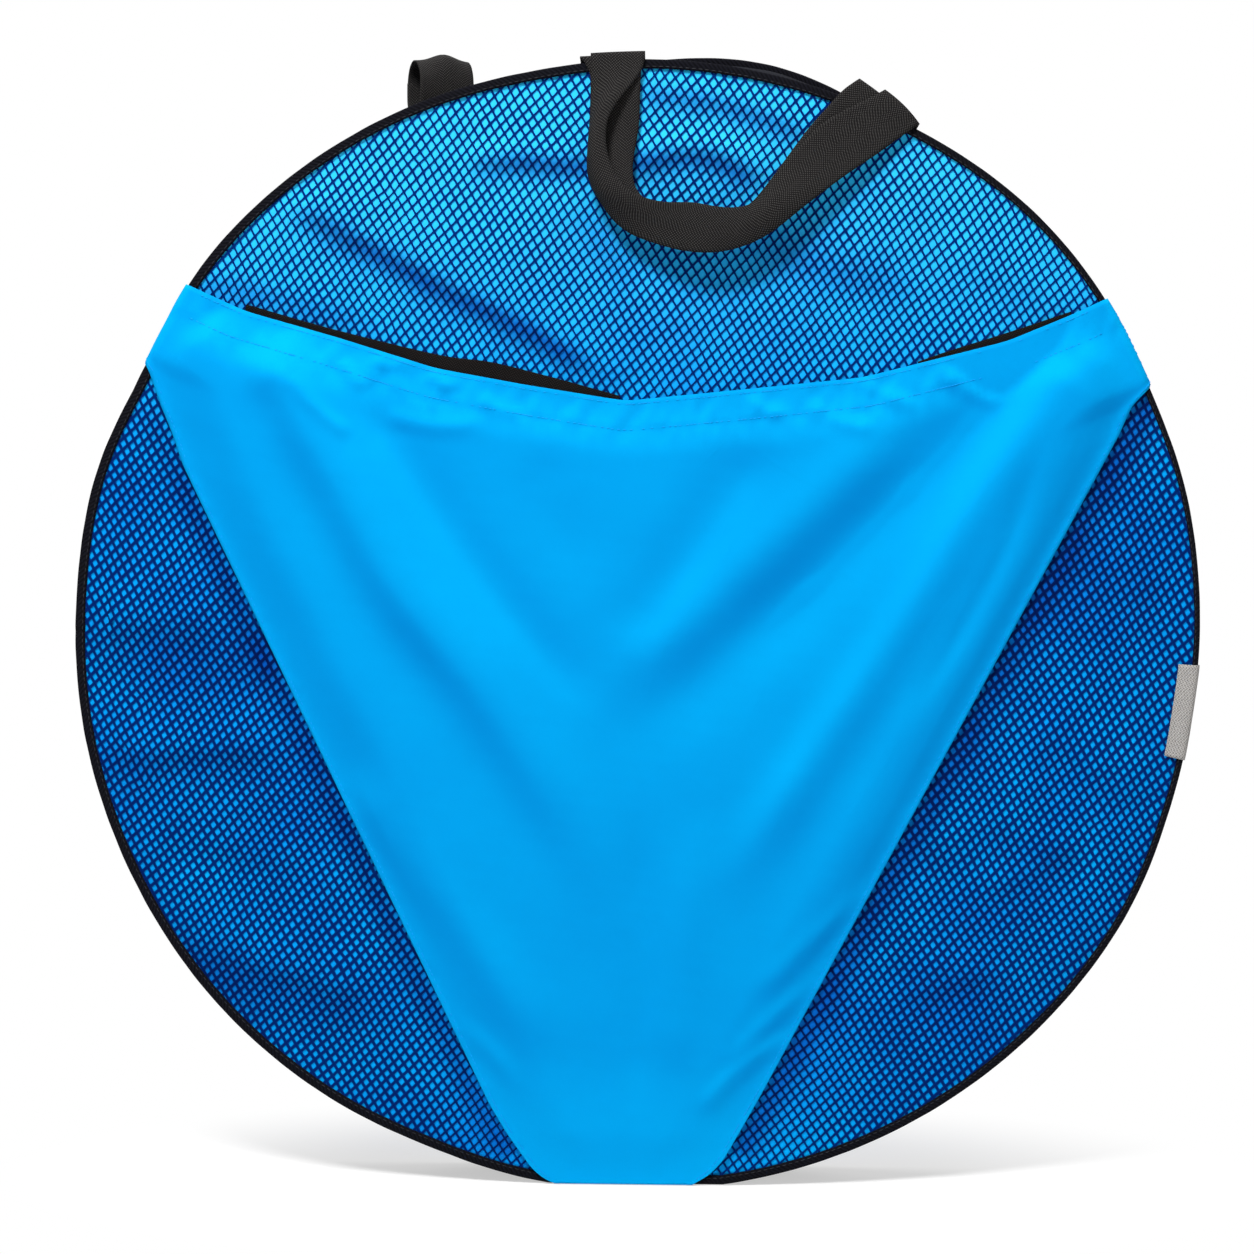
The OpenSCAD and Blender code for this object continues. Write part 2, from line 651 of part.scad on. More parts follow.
front_mesh();
front_lining();
front_binding();
front_band();
front_zip_half();
pocket();
pocket_closure_strip();
side_label();
front_handle_ends();
front_handle();
back_mesh();
back_lining();
back_binding();
gusset();
base_strip();
back_zip_half();
zip_end_stops();
zip_slider_right();
zip_slider_left();
zip_pull_right();
zip_pull_left();
rear_handle_ends();
rear_handle();
playing_net();
net_border();
net_hooks();
leg_pins();
snap_buttons();
ball_left();
ball_middle();
ball_right();
pump_barrel();
pump_nozzle();
pump_plunger();
for (i = [1:HUBS]) {
    rim_tube(i);
    leg_hub(i);
    leg(i);
    leg_foot(i);
}
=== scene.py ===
import json
import math

import bpy
import numpy as np
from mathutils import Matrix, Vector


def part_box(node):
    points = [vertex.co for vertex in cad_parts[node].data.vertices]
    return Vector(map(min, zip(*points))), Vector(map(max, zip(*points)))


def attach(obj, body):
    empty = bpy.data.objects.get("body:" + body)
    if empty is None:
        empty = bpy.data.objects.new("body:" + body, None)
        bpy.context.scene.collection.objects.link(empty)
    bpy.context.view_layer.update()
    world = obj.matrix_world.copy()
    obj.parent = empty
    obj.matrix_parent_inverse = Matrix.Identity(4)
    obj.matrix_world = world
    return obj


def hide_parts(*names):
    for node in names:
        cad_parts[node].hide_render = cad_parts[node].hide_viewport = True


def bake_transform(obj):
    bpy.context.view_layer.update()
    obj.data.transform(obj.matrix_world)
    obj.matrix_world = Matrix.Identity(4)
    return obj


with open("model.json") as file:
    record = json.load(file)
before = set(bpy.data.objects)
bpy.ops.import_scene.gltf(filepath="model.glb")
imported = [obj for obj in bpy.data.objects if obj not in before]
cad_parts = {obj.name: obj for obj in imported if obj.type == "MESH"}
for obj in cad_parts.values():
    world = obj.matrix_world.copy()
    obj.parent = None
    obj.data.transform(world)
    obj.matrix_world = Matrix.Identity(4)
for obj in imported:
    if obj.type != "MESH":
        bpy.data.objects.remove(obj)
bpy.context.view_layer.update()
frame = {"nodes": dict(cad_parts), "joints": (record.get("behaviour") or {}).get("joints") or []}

mm = 0.001
backLow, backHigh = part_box("back_binding")
frontLow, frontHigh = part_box("front_binding")
bagRadius = (backHigh[0] - backLow[0]) / 2
bagCentre = backHigh[2] - bagRadius            # height of the round bag's middle
frontRimY = (frontLow[1] + frontHigh[1]) / 2
backRimY = (backLow[1] + backHigh[1]) / 2
meshFace = abs(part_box("front_mesh")[0][1])     # how far the mesh's outer face lies from the bag's middle
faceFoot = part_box("front_mesh")[0][2]          # the faces end a little above the floor
zipY = sum(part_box("zip_slider_right")[k][1] for k in (0, 1)) / 2
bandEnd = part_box("front_band")[1][1]
print("frame loaded:", len(frame["nodes"]), "nodes")


# ---- numbers and curves

def ease(t):
    # 0 below 0, 1 above 1, and 3t^2 - 2t^3 between
    t = np.clip(t, 0, 1)
    return t * t * (3 - 2 * t)


def curveThrough(points, steps):
    # a Catmull-Rom curve through a few points, at even steps of its parameter
    p = np.asarray(points, float)
    p = np.vstack([2 * p[0] - p[1], p, 2 * p[-1] - p[-2]])
    t = np.linspace(0, len(points) - 1, steps)
    k = np.minimum(t.astype(int), len(points) - 2)
    f = (t - k)[:, None]
    a, b, c, d = p[k], p[k + 1], p[k + 2], p[k + 3]
    return 0.5 * (2 * b + (c - a) * f + (2 * a - 5 * b + 4 * c - d) * f ** 2 + (3 * b - a - 3 * c + d) * f ** 3)


def lengthAlong(points):
    # how far each point lies from the first one, along the line
    return np.concatenate([[0], np.cumsum(np.linalg.norm(np.diff(points, axis=0), axis=1))])


def evenly(points, count):
    # the same line, with its points spread evenly by length
    run = lengthAlong(points)
    at = np.linspace(0, run[-1], count)
    return np.stack([np.interp(at, run, points[:, k]) for k in range(points.shape[1])], axis=1)


def blurred(points, reach):
    # each point as the bell-weighted mean of its neighbours; both ends stay where they are
    k = np.arange(-3 * reach, 3 * reach + 1)
    weight = np.exp(-(k / reach) ** 2)
    weight /= weight.sum()
    n = len(k) // 2
    first, last = points[:1], points[-1:]
    padded = np.concatenate([2 * first - points[n:0:-1], points, 2 * last - points[-2:-n - 2:-1]])
    return sum(w * padded[i:i + len(points)] for i, w in enumerate(weight))


def ripple(u, v, seed, longest, waves=7):
    # the mean of plane waves whose directions, lengths and phases come from the seed
    total = np.zeros(np.broadcast(u, v).shape)
    for turn, phase, size in np.random.default_rng(seed).random((waves, 3)):
        k = 2 * math.pi / (longest * (0.4 + 0.6 * size))
        along = u * math.cos(2 * math.pi * turn) + v * math.sin(2 * math.pi * turn)
        total = total + np.sin(k * along + 2 * math.pi * phase)
    return total / waves


def signedPower(v, power):
    return np.sign(v) * np.abs(v) ** power


def fold(height, above, below, line, start=0.2, end=0.25):
    # a chain of points in mm, with a height, a width on its upper and its lower side,
    # and the shares of its length over which it fades in and out
    return dict(height=height, above=above, below=below, line=line, start=start, end=end)


def ridges(x, z, folds):
    # the sum of the folds, each its height times exp(-(distance / width)^2), fading at both ends
    total = np.zeros(x.shape)
    for each in folds:
        chain = curveThrough(np.array(each["line"], float) * mm, 12 * len(each["line"]))
        a, b = chain[:-1, :, None], chain[1:, :, None]
        near, side, share = np.full(x.size, 9.0), np.zeros(x.size), np.zeros(x.size)
        spot = np.stack([x.ravel(), z.ravel()])
        for k in range(len(a)):
            step = b[k] - a[k]
            t = np.clip(((spot - a[k]) * step).sum(0) / (step ** 2).sum(), 0, 1)
            gap = spot - a[k] - step * t
            far = np.hypot(gap[0], gap[1])
            closer = far < near
            cross = step[0] * gap[1] - step[1] * gap[0]
            near[closer], side[closer], share[closer] = far[closer], cross[closer], (k + t[closer]) / len(a)
        width = np.where(side * np.sign(chain[-1, 0] - chain[0, 0]) > 0, each["above"], each["below"]) * mm
        fade = ease(share / each["start"]) * ease((1 - share) / each["end"])
        total += (each["height"] * mm * np.exp(-(near / width) ** 2) * fade).reshape(x.shape)
    return total


# ---- meshes

def gridFaces(rows, cols, around=False):
    i, j = np.meshgrid(np.arange(rows - 1), np.arange(cols if around else cols - 1), indexing="ij")
    n = (j + 1) % cols
    return np.stack([i * cols + j, i * cols + n, (i + 1) * cols + n, (i + 1) * cols + j], axis=-1).reshape(-1, 4)


def addMesh(name, points, faces, body, material, uv=None, smooth=True, shade=None):
    mesh = bpy.data.meshes.new(name)
    points = np.asarray(points, np.float32).reshape(-1, 3)
    faces = faces if isinstance(faces, list) else [faces]
    corners = np.concatenate([f.ravel() for f in faces]).astype(np.int32)
    sizes = np.concatenate([np.full(len(f), f.shape[1]) for f in faces])
    mesh.vertices.add(len(points))
    mesh.vertices.foreach_set("co", points.ravel())
    mesh.loops.add(len(corners))
    mesh.loops.foreach_set("vertex_index", corners)
    mesh.polygons.add(len(sizes))
    mesh.polygons.foreach_set("loop_start", np.concatenate([[0], np.cumsum(sizes)[:-1]]).astype(np.int32))
    mesh.polygons.foreach_set("use_smooth", np.full(len(sizes), smooth))
    if uv is not None:
        layer = mesh.uv_layers.new(name="cloth")
        layer.data.foreach_set("uv", np.asarray(uv, np.float32).reshape(-1, 2)[corners].ravel())
    if shade is not None:
        tone = mesh.attributes.new("shade", "FLOAT", "POINT")
        tone.data.foreach_set("value", np.asarray(shade, np.float32).ravel())
    mesh.update(calc_edges=True)
    mesh.validate()
    piece = bpy.data.objects.new(name, mesh)
    bpy.context.scene.collection.objects.link(piece)
    mesh.materials.append(material)
    if body:
        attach(piece, body)
    return piece


def unit(v):
    return v / np.maximum(np.linalg.norm(v, axis=-1, keepdims=True), 1e-12)


def gridNormals(grid):
    return unit(np.cross(np.gradient(grid, axis=1), np.gradient(grid, axis=0)))


def gridLengths(grid):
    # cloth coordinates in metres: u across a row and v along the middle column
    across = np.linalg.norm(np.diff(grid, axis=1), axis=2)
    u = np.concatenate([np.zeros((len(grid), 1)), np.cumsum(across, axis=1)], axis=1)
    middle = grid[:, grid.shape[1] // 2]
    v = lengthAlong(middle)
    return np.stack([u - u.mean(axis=1, keepdims=True), np.repeat(v[:, None], grid.shape[1], axis=1)], axis=-1)


def solidCloth(grid, thickness):
    # the grid moved half the thickness to each side along its normals, and closed round its edge
    rows, cols = grid.shape[:2]
    n = gridNormals(grid)
    flat = gridLengths(grid)
    ring = np.concatenate([grid + n * thickness / 2, (grid - n * thickness / 2)[:, ::-1]], axis=1)
    uv = np.concatenate([flat, flat[:, ::-1]], axis=1)
    j = np.arange(cols - 1)
    first = np.stack([j, 2 * cols - 1 - j, 2 * cols - 2 - j, j + 1], axis=1)
    last = first[:, ::-1] + (rows - 1) * 2 * cols
    return ring, np.concatenate([gridFaces(rows, 2 * cols, around=True), first, last]), uv


def addCloth(name, grid, thickness, body, material, shade=None):
    points, faces, uv = solidCloth(grid, thickness)
    if shade is not None:
        shade = np.concatenate([shade, shade[:, ::-1]], axis=1)
    return addMesh(name, points, faces, body, material, uv, shade=shade)


def joined(shapes):
    # several (points, faces, uv) as one
    points, faces, uv, start = [], [], [], 0
    for p, f, t in shapes:
        p = np.asarray(p).reshape(-1, 3)
        points.append(p)
        faces.append(f + start)
        uv.append(np.asarray(t).reshape(-1, 2))
        start += len(p)
    return np.concatenate(points), np.concatenate(faces), np.concatenate(uv)


def tubes(centres, radius, sides, guide=None):
    # round tubes along many lines at once: centres is lines x points x 3
    along = unit(np.gradient(centres, axis=1))
    if guide is None:
        guide = np.where(np.abs(along[..., 1:2]) > 0.9, np.array([1.0, 0, 0]), np.array([0, 1.0, 0]))
    a = unit(np.cross(along, guide))
    b = np.cross(along, a)
    turn = np.linspace(0, 2 * math.pi, sides, endpoint=False)
    ring = centres[:, :, None] + radius * (a[:, :, None] * np.cos(turn)[:, None]
                                           + b[:, :, None] * np.sin(turn)[:, None])
    lines, count = centres.shape[:2]
    one = gridFaces(count, sides, around=True)
    faces = (one[None] + np.arange(lines)[:, None, None] * count * sides).reshape(-1, 4)
    run = np.concatenate([np.zeros((lines, 1)), np.cumsum(np.linalg.norm(np.diff(centres, axis=1), axis=2), axis=1)],
                         axis=1)
    uv = np.stack(np.broadcast_arrays(turn / (2 * math.pi) * 0.01, run[:, :, None]), axis=-1)
    return ring.reshape(-1, 3), faces, uv.reshape(-1, 2)


def stitches(line, facing, settings):
    # small beads along a line: each is a six-sided spindle that is half sunk into the cloth
    length = np.linalg.norm(np.diff(line, axis=0), axis=1).sum()
    count = max(2, int(length / (settings["pitch"] * mm)))
    spots = evenly(np.hstack([line, facing]), 2 * count + 1)
    middle, up = spots[1::2, :3], unit(spots[1::2, 3:])
    along = unit(spots[2::2, :3] - spots[:-1:2, :3])
    up = unit(up - along * (up * along).sum(1, keepdims=True))
    side = np.cross(along, up)
    reach = np.array([-1, -0.8, -0.3, 0.3, 0.8, 1.0]) * settings["length"] * mm / 2
    thick = np.array([0.1, 0.75, 1, 1, 0.75, 0.1]) * settings["thread"] * mm / 2
    turn = np.linspace(0, 2 * math.pi, 6, endpoint=False)
    ring = side[:, None, None] * np.cos(turn)[:, None] - up[:, None, None] * np.sin(turn)[:, None]
    points = middle[:, None, None] + along[:, None, None] * reach[:, None, None] + ring * thick[:, None, None]
    one = gridFaces(6, 6, around=True)
    faces = (one[None] + np.arange(count)[:, None, None] * 36).reshape(-1, 4)
    return points.reshape(-1, 3), faces, np.zeros((count * 36, 2))


# ---- node groups and materials

def node(tree, kind, links=None, **settings):
    made = tree.nodes.new("ShaderNode" + kind)
    for key, value in settings.items():
        setattr(made, key, value)
    for socket, value in (links or {}).items():
        if isinstance(value, bpy.types.NodeSocket):
            tree.links.new(value, made.inputs[socket])
        else:
            made.inputs[socket].default_value = value
    return made


def math2(tree, operation, a, b=0.0, c=0.0):
    return node(tree, "Math", {0: a, 1: b, 2: c}, operation=operation).outputs[0]


def wave(tree, value, times):
    # sin(2 pi times value)
    return math2(tree, "SINE", math2(tree, "MULTIPLY", math2(tree, "MULTIPLY", value, times), 2 * math.pi))


def smoothRange(tree, value, low, high, first=0.0, last=1.0):
    links = {0: value, 1: low, 2: high, 3: first, 4: last}
    return node(tree, "MapRange", links, interpolation_type="SMOOTHSTEP").outputs[0]


def mixed(tree, share, colour, tone):
    # from a colour to a tone by a share
    return node(tree, "Mix", {0: share, 6: colour, 7: (*tone, 1)}, data_type="RGBA").outputs[2]


def newGroup(name, inputs, outputs):
    group = bpy.data.node_groups.new(name, "ShaderNodeTree")
    for label, kind, value in inputs:
        socket = group.interface.new_socket(label, in_out="INPUT", socket_type="NodeSocket" + kind)
        if value is not None:
            socket.default_value = value
    for label, kind in outputs:
        group.interface.new_socket(label, in_out="OUTPUT", socket_type="NodeSocket" + kind)
    return group, group.nodes.new("NodeGroupInput").outputs, group.nodes.new("NodeGroupOutput").inputs


def useGroup(tree, group, values):
    made = tree.nodes.new("ShaderNodeGroup")
    made.node_tree = group
    for label, value in values.items():
        if isinstance(value, bpy.types.NodeSocket):
            tree.links.new(value, made.inputs[label])
        else:
            made.inputs[label].default_value = value
    return made.outputs


def buildPlainWeave():
    # sin(threads u) * sin(threads v): a thread of one set stands up where the other dips
    group, given, out = newGroup("plainWeave", [("Cloth", "Vector", None), ("Threads", "Float", 800.0)],
                                 [("Height", "Float")])
    parts = node(group, "SeparateXYZ", {0: given["Cloth"]}).outputs
    waves = [wave(group, parts[k], given["Threads"]) for k in (0, 1)]
    group.links.new(math2(group, "MULTIPLY_ADD", math2(group, "MULTIPLY", *waves), 0.5, 0.5), out["Height"])
    return group


def buildTwill():
    # sin(ribs (v + lean * zigzag(u))) times sin(ribs u): diagonal ribs of dots that turn back at each column
    group, given, out = newGroup("twillWeave", [("Cloth", "Vector", None), ("Ribs", "Float", 500.0),
                                                ("Column", "Float", 0.006), ("Lean", "Float", 1.0),
                                                ("Dots", "Float", 0.5)], [("Height", "Float")])
    parts = node(group, "SeparateXYZ", {0: given["Cloth"]}).outputs
    zigzag = math2(group, "PINGPONG", math2(group, "ADD", parts[0], 10.0), given["Column"])
    slanted = math2(group, "MULTIPLY_ADD", zigzag, given["Lean"], parts[1])
    rib, dot = (wave(group, v, given["Ribs"]) for v in (slanted, parts[0]))
    broken = math2(group, "MULTIPLY_ADD", given["Dots"], math2(group, "SUBTRACT", dot, 1.0), 1.0)
    group.links.new(math2(group, "MULTIPLY_ADD", math2(group, "MULTIPLY", rib, broken), 0.5, 0.5), out["Height"])
    return group


def buildMottle():
    # soft clouds and fine specks for the colour, both from 0 to 1
    group, given, out = newGroup("mottle", [("Place", "Vector", None), ("Clouds", "Float", 9.0),
                                            ("Specks", "Float", 900.0)],
                                 [("Cloud", "Float"), ("Speck", "Float")])
    cloud = node(group, "TexNoise", {"Vector": given["Place"], "Scale": given["Clouds"], "Detail": 3.0,
                                     "Roughness": 0.55})
    speck = node(group, "TexNoise", {"Vector": given["Place"], "Scale": given["Specks"], "Detail": 1.0})
    group.links.new(node(group, "MapRange", {0: cloud.outputs[0], 1: 0.32, 2: 0.68}).outputs[0], out["Cloud"])
    group.links.new(node(group, "MapRange", {0: speck.outputs[0], 1: 0.3, 2: 0.7}).outputs[0], out["Speck"])
    return group


def buildCreases():
    # thin straight creases: the ridge of a stretched noise where it passes its middle value
    group, given, out = newGroup("creases", [("Place", "Vector", None), ("Scale", "Float", 7.0),
                                             ("Sharp", "Float", 0.04)], [("Height", "Float")])
    total = None
    for turn, stretch in ((0.6, 3.0), (2.2, 4.0)):
        lay = node(group, "Mapping", {0: given["Place"], 2: (0, turn, 0), 3: (1, 1, 1 / stretch)},
                   vector_type="TEXTURE").outputs[0]
        noise = node(group, "TexNoise", {"Vector": lay, "Scale": given["Scale"], "Detail": 1.5,
                                         "Distortion": 0.3}).outputs[0]
        off = math2(group, "ABSOLUTE", math2(group, "SUBTRACT", noise, 0.5))
        ridge = smoothRange(group, off, 0.0, given["Sharp"], 1.0, 0.0)
        total = ridge if total is None else math2(group, "MAXIMUM", total, ridge)
    group.links.new(total, out["Height"])
    return group


plainWeave, twillWeave, mottle, creases = buildPlainWeave(), buildTwill(), buildMottle(), buildCreases()


usual = dict(                                  # what a finish has unless it says otherwise
    weave=None, weaveTone=0.3, crownFrom=0.0, column=0.006, lean=1.0, dots=1.0, bump=0.6,
    clouds=9.0, specks=900.0, cloud=0.5, speck=0.3, grain=None, crease=None, creaseScale=7.0,
    roughVary=0.06, specular=0.2, metal=0.0, coat=0.0, lift=None, edge=None, hollow=None,
)


def newMaterial(name, settings):
    # colour between a dark and a light tone by cloud, speck and weave; bump from weave and creases
    settings = {**usual, **settings}
    made = bpy.data.materials.new(name)
    made.use_nodes = True
    tree = made.node_tree
    shader = tree.nodes["Principled BSDF"]
    place = node(tree, "TexCoord").outputs["Object"]
    cloth = node(tree, "UVMap", uv_map="cloth").outputs[0] if settings["weave"] else place
    tones = useGroup(tree, mottle, {"Place": place, "Clouds": settings["clouds"], "Specks": settings["specks"]})
    mask = math2(tree, "MULTIPLY", tones["Cloud"], settings["cloud"])
    mask = math2(tree, "MULTIPLY_ADD", tones["Speck"], settings["speck"], mask)
    bumps = []
    if settings["weave"] == "plain":
        height = useGroup(tree, plainWeave, {"Cloth": cloth, "Threads": settings["threads"]})["Height"]
    if settings["weave"] == "twill":
        height = useGroup(tree, twillWeave, {"Cloth": cloth, "Ribs": settings["threads"], "Column": settings["column"],
                                             "Lean": settings["lean"], "Dots": settings["dots"]})["Height"]
    if settings["weave"]:
        bumps.append((height, settings["weaveDepth"]))
        crown = smoothRange(tree, height, settings["crownFrom"], 1.0)
        mask = math2(tree, "MULTIPLY_ADD", crown, settings["weaveTone"], mask)
    if settings["grain"]:
        bumps.append((tones["Speck"], settings["grain"]))
    if settings["crease"]:
        bumps.append((useGroup(tree, creases, {"Place": place, "Scale": settings["creaseScale"]})["Height"],
                      settings["crease"]))
    colour = mixed(tree, mask, (*settings["dark"], 1), settings["light"])
    if settings["lift"]:                       # painted light: a lighter tone towards the top, standing in for light that comes through the cloth there
        high = node(tree, "SeparateXYZ", {0: place}).outputs[2]
        colour = mixed(tree, smoothRange(tree, high, *settings["lift"]), colour, settings["top"])
    if settings["edge"]:                       # painted light: the strands' sides are lighter than their crests, standing in for the blue lining's light seen through their thin edges
        side = node(tree, "SeparateXYZ", {0: node(tree, "UVMap", uv_map="cloth").outputs[0]}).outputs[0]
        colour = mixed(tree, side, colour, settings["edge"])
    if settings["hollow"]:                     # painted shade: a deeper tone by the shade attribute, which marks folds, down-facing cloth and the strips beside the pocket
        back = node(tree, "Attribute", attribute_name="shade").outputs["Fac"]
        colour = mixed(tree, back, colour, settings["hollow"])
    tree.links.new(colour, shader.inputs["Base Color"])
    tree.links.new(math2(tree, "MULTIPLY_ADD", tones["Cloud"], settings["roughVary"], settings["rough"]),
                   shader.inputs["Roughness"])
    shader.inputs["Metallic"].default_value = settings["metal"]
    shader.inputs["Specular IOR Level"].default_value = settings["specular"]
    shader.inputs["Coat Weight"].default_value = settings["coat"]
    shader.inputs["Coat Roughness"].default_value = 0.2
    normal = None
    for height, depth in bumps:
        links = {"Strength": settings["bump"], "Distance": depth * mm, "Height": height}
        if normal is not None:
            links["Normal"] = normal
        normal = node(tree, "Bump", links).outputs[0]
    if normal is not None:
        tree.links.new(normal, shader.inputs["Normal"])
    return made


# each finish's hollow tone is painted shade: the colour that the shade attribute mixes in
finishes = {
    "pocketCloth": dict(dark=(0.0, 0.365, 0.79), light=(0.0, 0.425, 0.85), rough=0.85, specular=0.03, weave="plain",
                        threads=2600, weaveDepth=0.04, weaveTone=0.1, cloud=0.45, speck=0.4, clouds=6, specks=1200,
                        crease=0.10, creaseScale=5.0, hollow=(0.0, 0.215, 0.61)),
    "pocketThread": dict(dark=(0.0, 0.28, 0.72), light=(0.01, 0.42, 0.90), rough=0.7, specular=0.1, grain=0.05),
    # the lining's lift and top tone are painted light on its upper part; its hollow tone is painted shade
    "lining": dict(dark=(0.0, 0.22, 0.80), light=(0.0, 0.46, 1.0), rough=0.75, specular=0.05, weave="plain",
                   threads=1500, weaveDepth=0.04, weaveTone=0.1, cloud=0.75, clouds=9, speck=0.15, lift=(0.60, 0.92),
                   top=(0.030, 0.58, 1.0), crease=0.25, creaseScale=4.0, hollow=(0.0, 0.055, 0.42)),
    # meshCord: its edge tone is painted light on the strands' sides; its hollow tone is painted shade
    "meshCord": dict(dark=(0.0, 0.004, 0.050), light=(0.0, 0.020, 0.135), rough=0.8, specular=0.03, grain=0.12,
                     specks=1600, cloud=0.5, edge=(0.0, 0.034, 0.24), hollow=(0.0, 0.003, 0.045)),
    "binding": dict(dark=(0.0004, 0.0005, 0.001), light=(0.006, 0.006, 0.010), rough=0.85, specular=0.08,
                    weave="twill", threads=250, column=2.0, weaveDepth=0.8, weaveTone=0.7, cloud=0.1, speck=0.3,
                    dots=0.25),
    "gussetCloth": dict(dark=(0.002, 0.002, 0.004), light=(0.009, 0.010, 0.015), rough=0.8, specular=0.1,
                        weave="plain", threads=700, weaveDepth=0.15, crease=0.2),
    "webbing": dict(dark=(0.003, 0.0027, 0.003), light=(0.085, 0.081, 0.078), rough=0.8, specular=0.06,
                    weave="twill", threads=410, column=0.0088, lean=0.22, crownFrom=0.58, weaveDepth=0.3,
                    weaveTone=0.8, cloud=0.06, speck=0.08, dots=1.0, bump=0.8),
    "closureTape": dict(dark=(0.001, 0.001, 0.001), light=(0.030, 0.026, 0.025), rough=0.85, specular=0.03,
                        weave="twill", threads=430, column=0.0048, lean=0.22, crownFrom=0.5, weaveDepth=0.4,
                        weaveTone=0.8, cloud=0.1, speck=0.1, dots=1.0),
    "label": dict(dark=(0.10, 0.095, 0.09), light=(0.48, 0.46, 0.44), rough=0.7, specular=0.1, weave="twill",
                  threads=400, column=0.009, lean=0.3, weaveDepth=0.5, weaveTone=0.9, cloud=0.1, speck=0.35,
                  dots=0.8, bump=0.9),
    "blackThread": dict(dark=(0.006, 0.006, 0.008), light=(0.03, 0.03, 0.036), rough=0.7, specular=0.25),
    "zipCoil": dict(dark=(0.006, 0.006, 0.007), light=(0.02, 0.02, 0.022), rough=0.4, specular=0.5),
    "zipMetal": dict(dark=(0.010, 0.010, 0.011), light=(0.04, 0.04, 0.043), rough=0.35, specular=0.5, coat=0.3,
                     grain=0.01),
    "rimPaint": dict(dark=(0.012, 0.012, 0.013), light=(0.03, 0.03, 0.032), rough=0.42, specular=0.5, grain=0.03,
                     specks=2600),
    "hubPlastic": dict(dark=(0.0, 0.15, 0.55), light=(0.0, 0.21, 0.70), rough=0.45, specular=0.4, grain=0.04,
                       specks=2200),
    "legRubber": dict(dark=(0.008, 0.008, 0.008), light=(0.022, 0.022, 0.022), rough=0.8, specular=0.3, grain=0.06,
                      specks=1600),
    "brightSteel": dict(dark=(0.42, 0.42, 0.44), light=(0.62, 0.62, 0.64), rough=0.25, metal=1.0, grain=0.01),
    "netCord": dict(dark=(0.55, 0.56, 0.58), light=(0.80, 0.81, 0.83), rough=0.75, specular=0.2, grain=0.15,
                    specks=1800),
    "netTape": dict(dark=(0.0, 0.13, 0.5), light=(0.0, 0.22, 0.74), rough=0.7, specular=0.15, weave="twill",
                    threads=620, weaveDepth=0.3),
    "hookPlastic": dict(dark=(0.008, 0.008, 0.009), light=(0.025, 0.025, 0.027), rough=0.5, specular=0.4, grain=0.03),
    "ballSkin": dict(dark=(0.02, 0.30, 0.75), light=(0.05, 0.42, 0.92), rough=0.6, specular=0.3, grain=0.35,
                     specks=420),
    "ballSeam": dict(dark=(0.7, 0.7, 0.72), light=(0.85, 0.85, 0.87), rough=0.6, specular=0.3),
    "pumpPlastic": dict(dark=(0.010, 0.010, 0.012), light=(0.024, 0.024, 0.028), rough=0.25, specular=0.5, coat=0.4),
    "pumpKnob": dict(dark=(0.0, 0.14, 0.5), light=(0.0, 0.20, 0.66), rough=0.5, specular=0.4, grain=0.04),
}
materials = {name: newMaterial(name, settings) for name, settings in finishes.items()}
print("materials built:", len(materials))


# ---- camera, lamps and floor

shot = dict(azimuth=2.5, elevation=4.5, distance=2.537, lens=85.0, target=(-0.0086, 0.0, 0.4771))
studio = dict(
    around=0.18,                               # light from all round
    lamps=[                                    # name, place, size, watts
        ("keyLamp", (-0.6, -1.8, 3.0), 0.8, 112),
        ("fillLamp", (2.3, -2.0, 1.2), 2.2, 9),
        ("topLamp", (0.2, 0.3, 3.2), 2.0, 26),
        ("backLamp", (0.9, 3.0, 2.6), 2.4, 26),
    ],
    floorTone=0.57, floorGlow=0.52, whiteFrom=0.24, whiteBy=0.56,
)


def setCamera():
    # the camera looks at the target from a direction given by two angles
    turn, rise = math.radians(shot["azimuth"]), math.radians(shot["elevation"])
    back = np.array([math.sin(turn) * math.cos(rise), -math.cos(turn) * math.cos(rise), math.sin(rise)])
    camera = bpy.data.objects.new("camera", bpy.data.cameras.new("camera"))
    camera.data.lens = shot["lens"]
    camera.location = np.array(shot["target"]) + back * shot["distance"]
    camera.rotation_euler = (math.pi / 2 - rise, 0, turn)
    bpy.context.scene.collection.objects.link(camera)
    bpy.context.scene.camera = camera


def setLamps():
    for name, place, size, watts in studio["lamps"]:
        lamp = bpy.data.lights.new(name, "AREA")
        lamp.shape, lamp.size, lamp.energy = "DISK", size, watts
        made = bpy.data.objects.new(name, lamp)
        made.location = place
        aim = np.array([0, 0, 0.45]) - np.array(place)
        made.rotation_euler = (math.acos(-aim[2] / np.linalg.norm(aim)), 0, math.atan2(aim[1], aim[0]) - math.pi / 2)
        bpy.context.scene.collection.objects.link(made)
    world = bpy.data.worlds.new("studio")
    bpy.context.scene.world = world
    world.use_nodes = True
    tree = world.node_tree
    rays = node(tree, "LightPath").outputs
    seen = math2(tree, "MAXIMUM", math2(tree, "MAXIMUM", rays["Is Camera Ray"], rays["Is Glossy Ray"]),
                 rays["Is Transmission Ray"])
    level = node(tree, "MapRange", {0: seen, 3: studio["around"], 4: 1.0}).outputs[0]
    tree.links.new(level, tree.nodes["Background"].inputs["Strength"])
    tree.nodes["Background"].inputs["Color"].default_value = (1, 1, 1, 1)
    bpy.context.scene.view_settings.view_transform = "Standard"


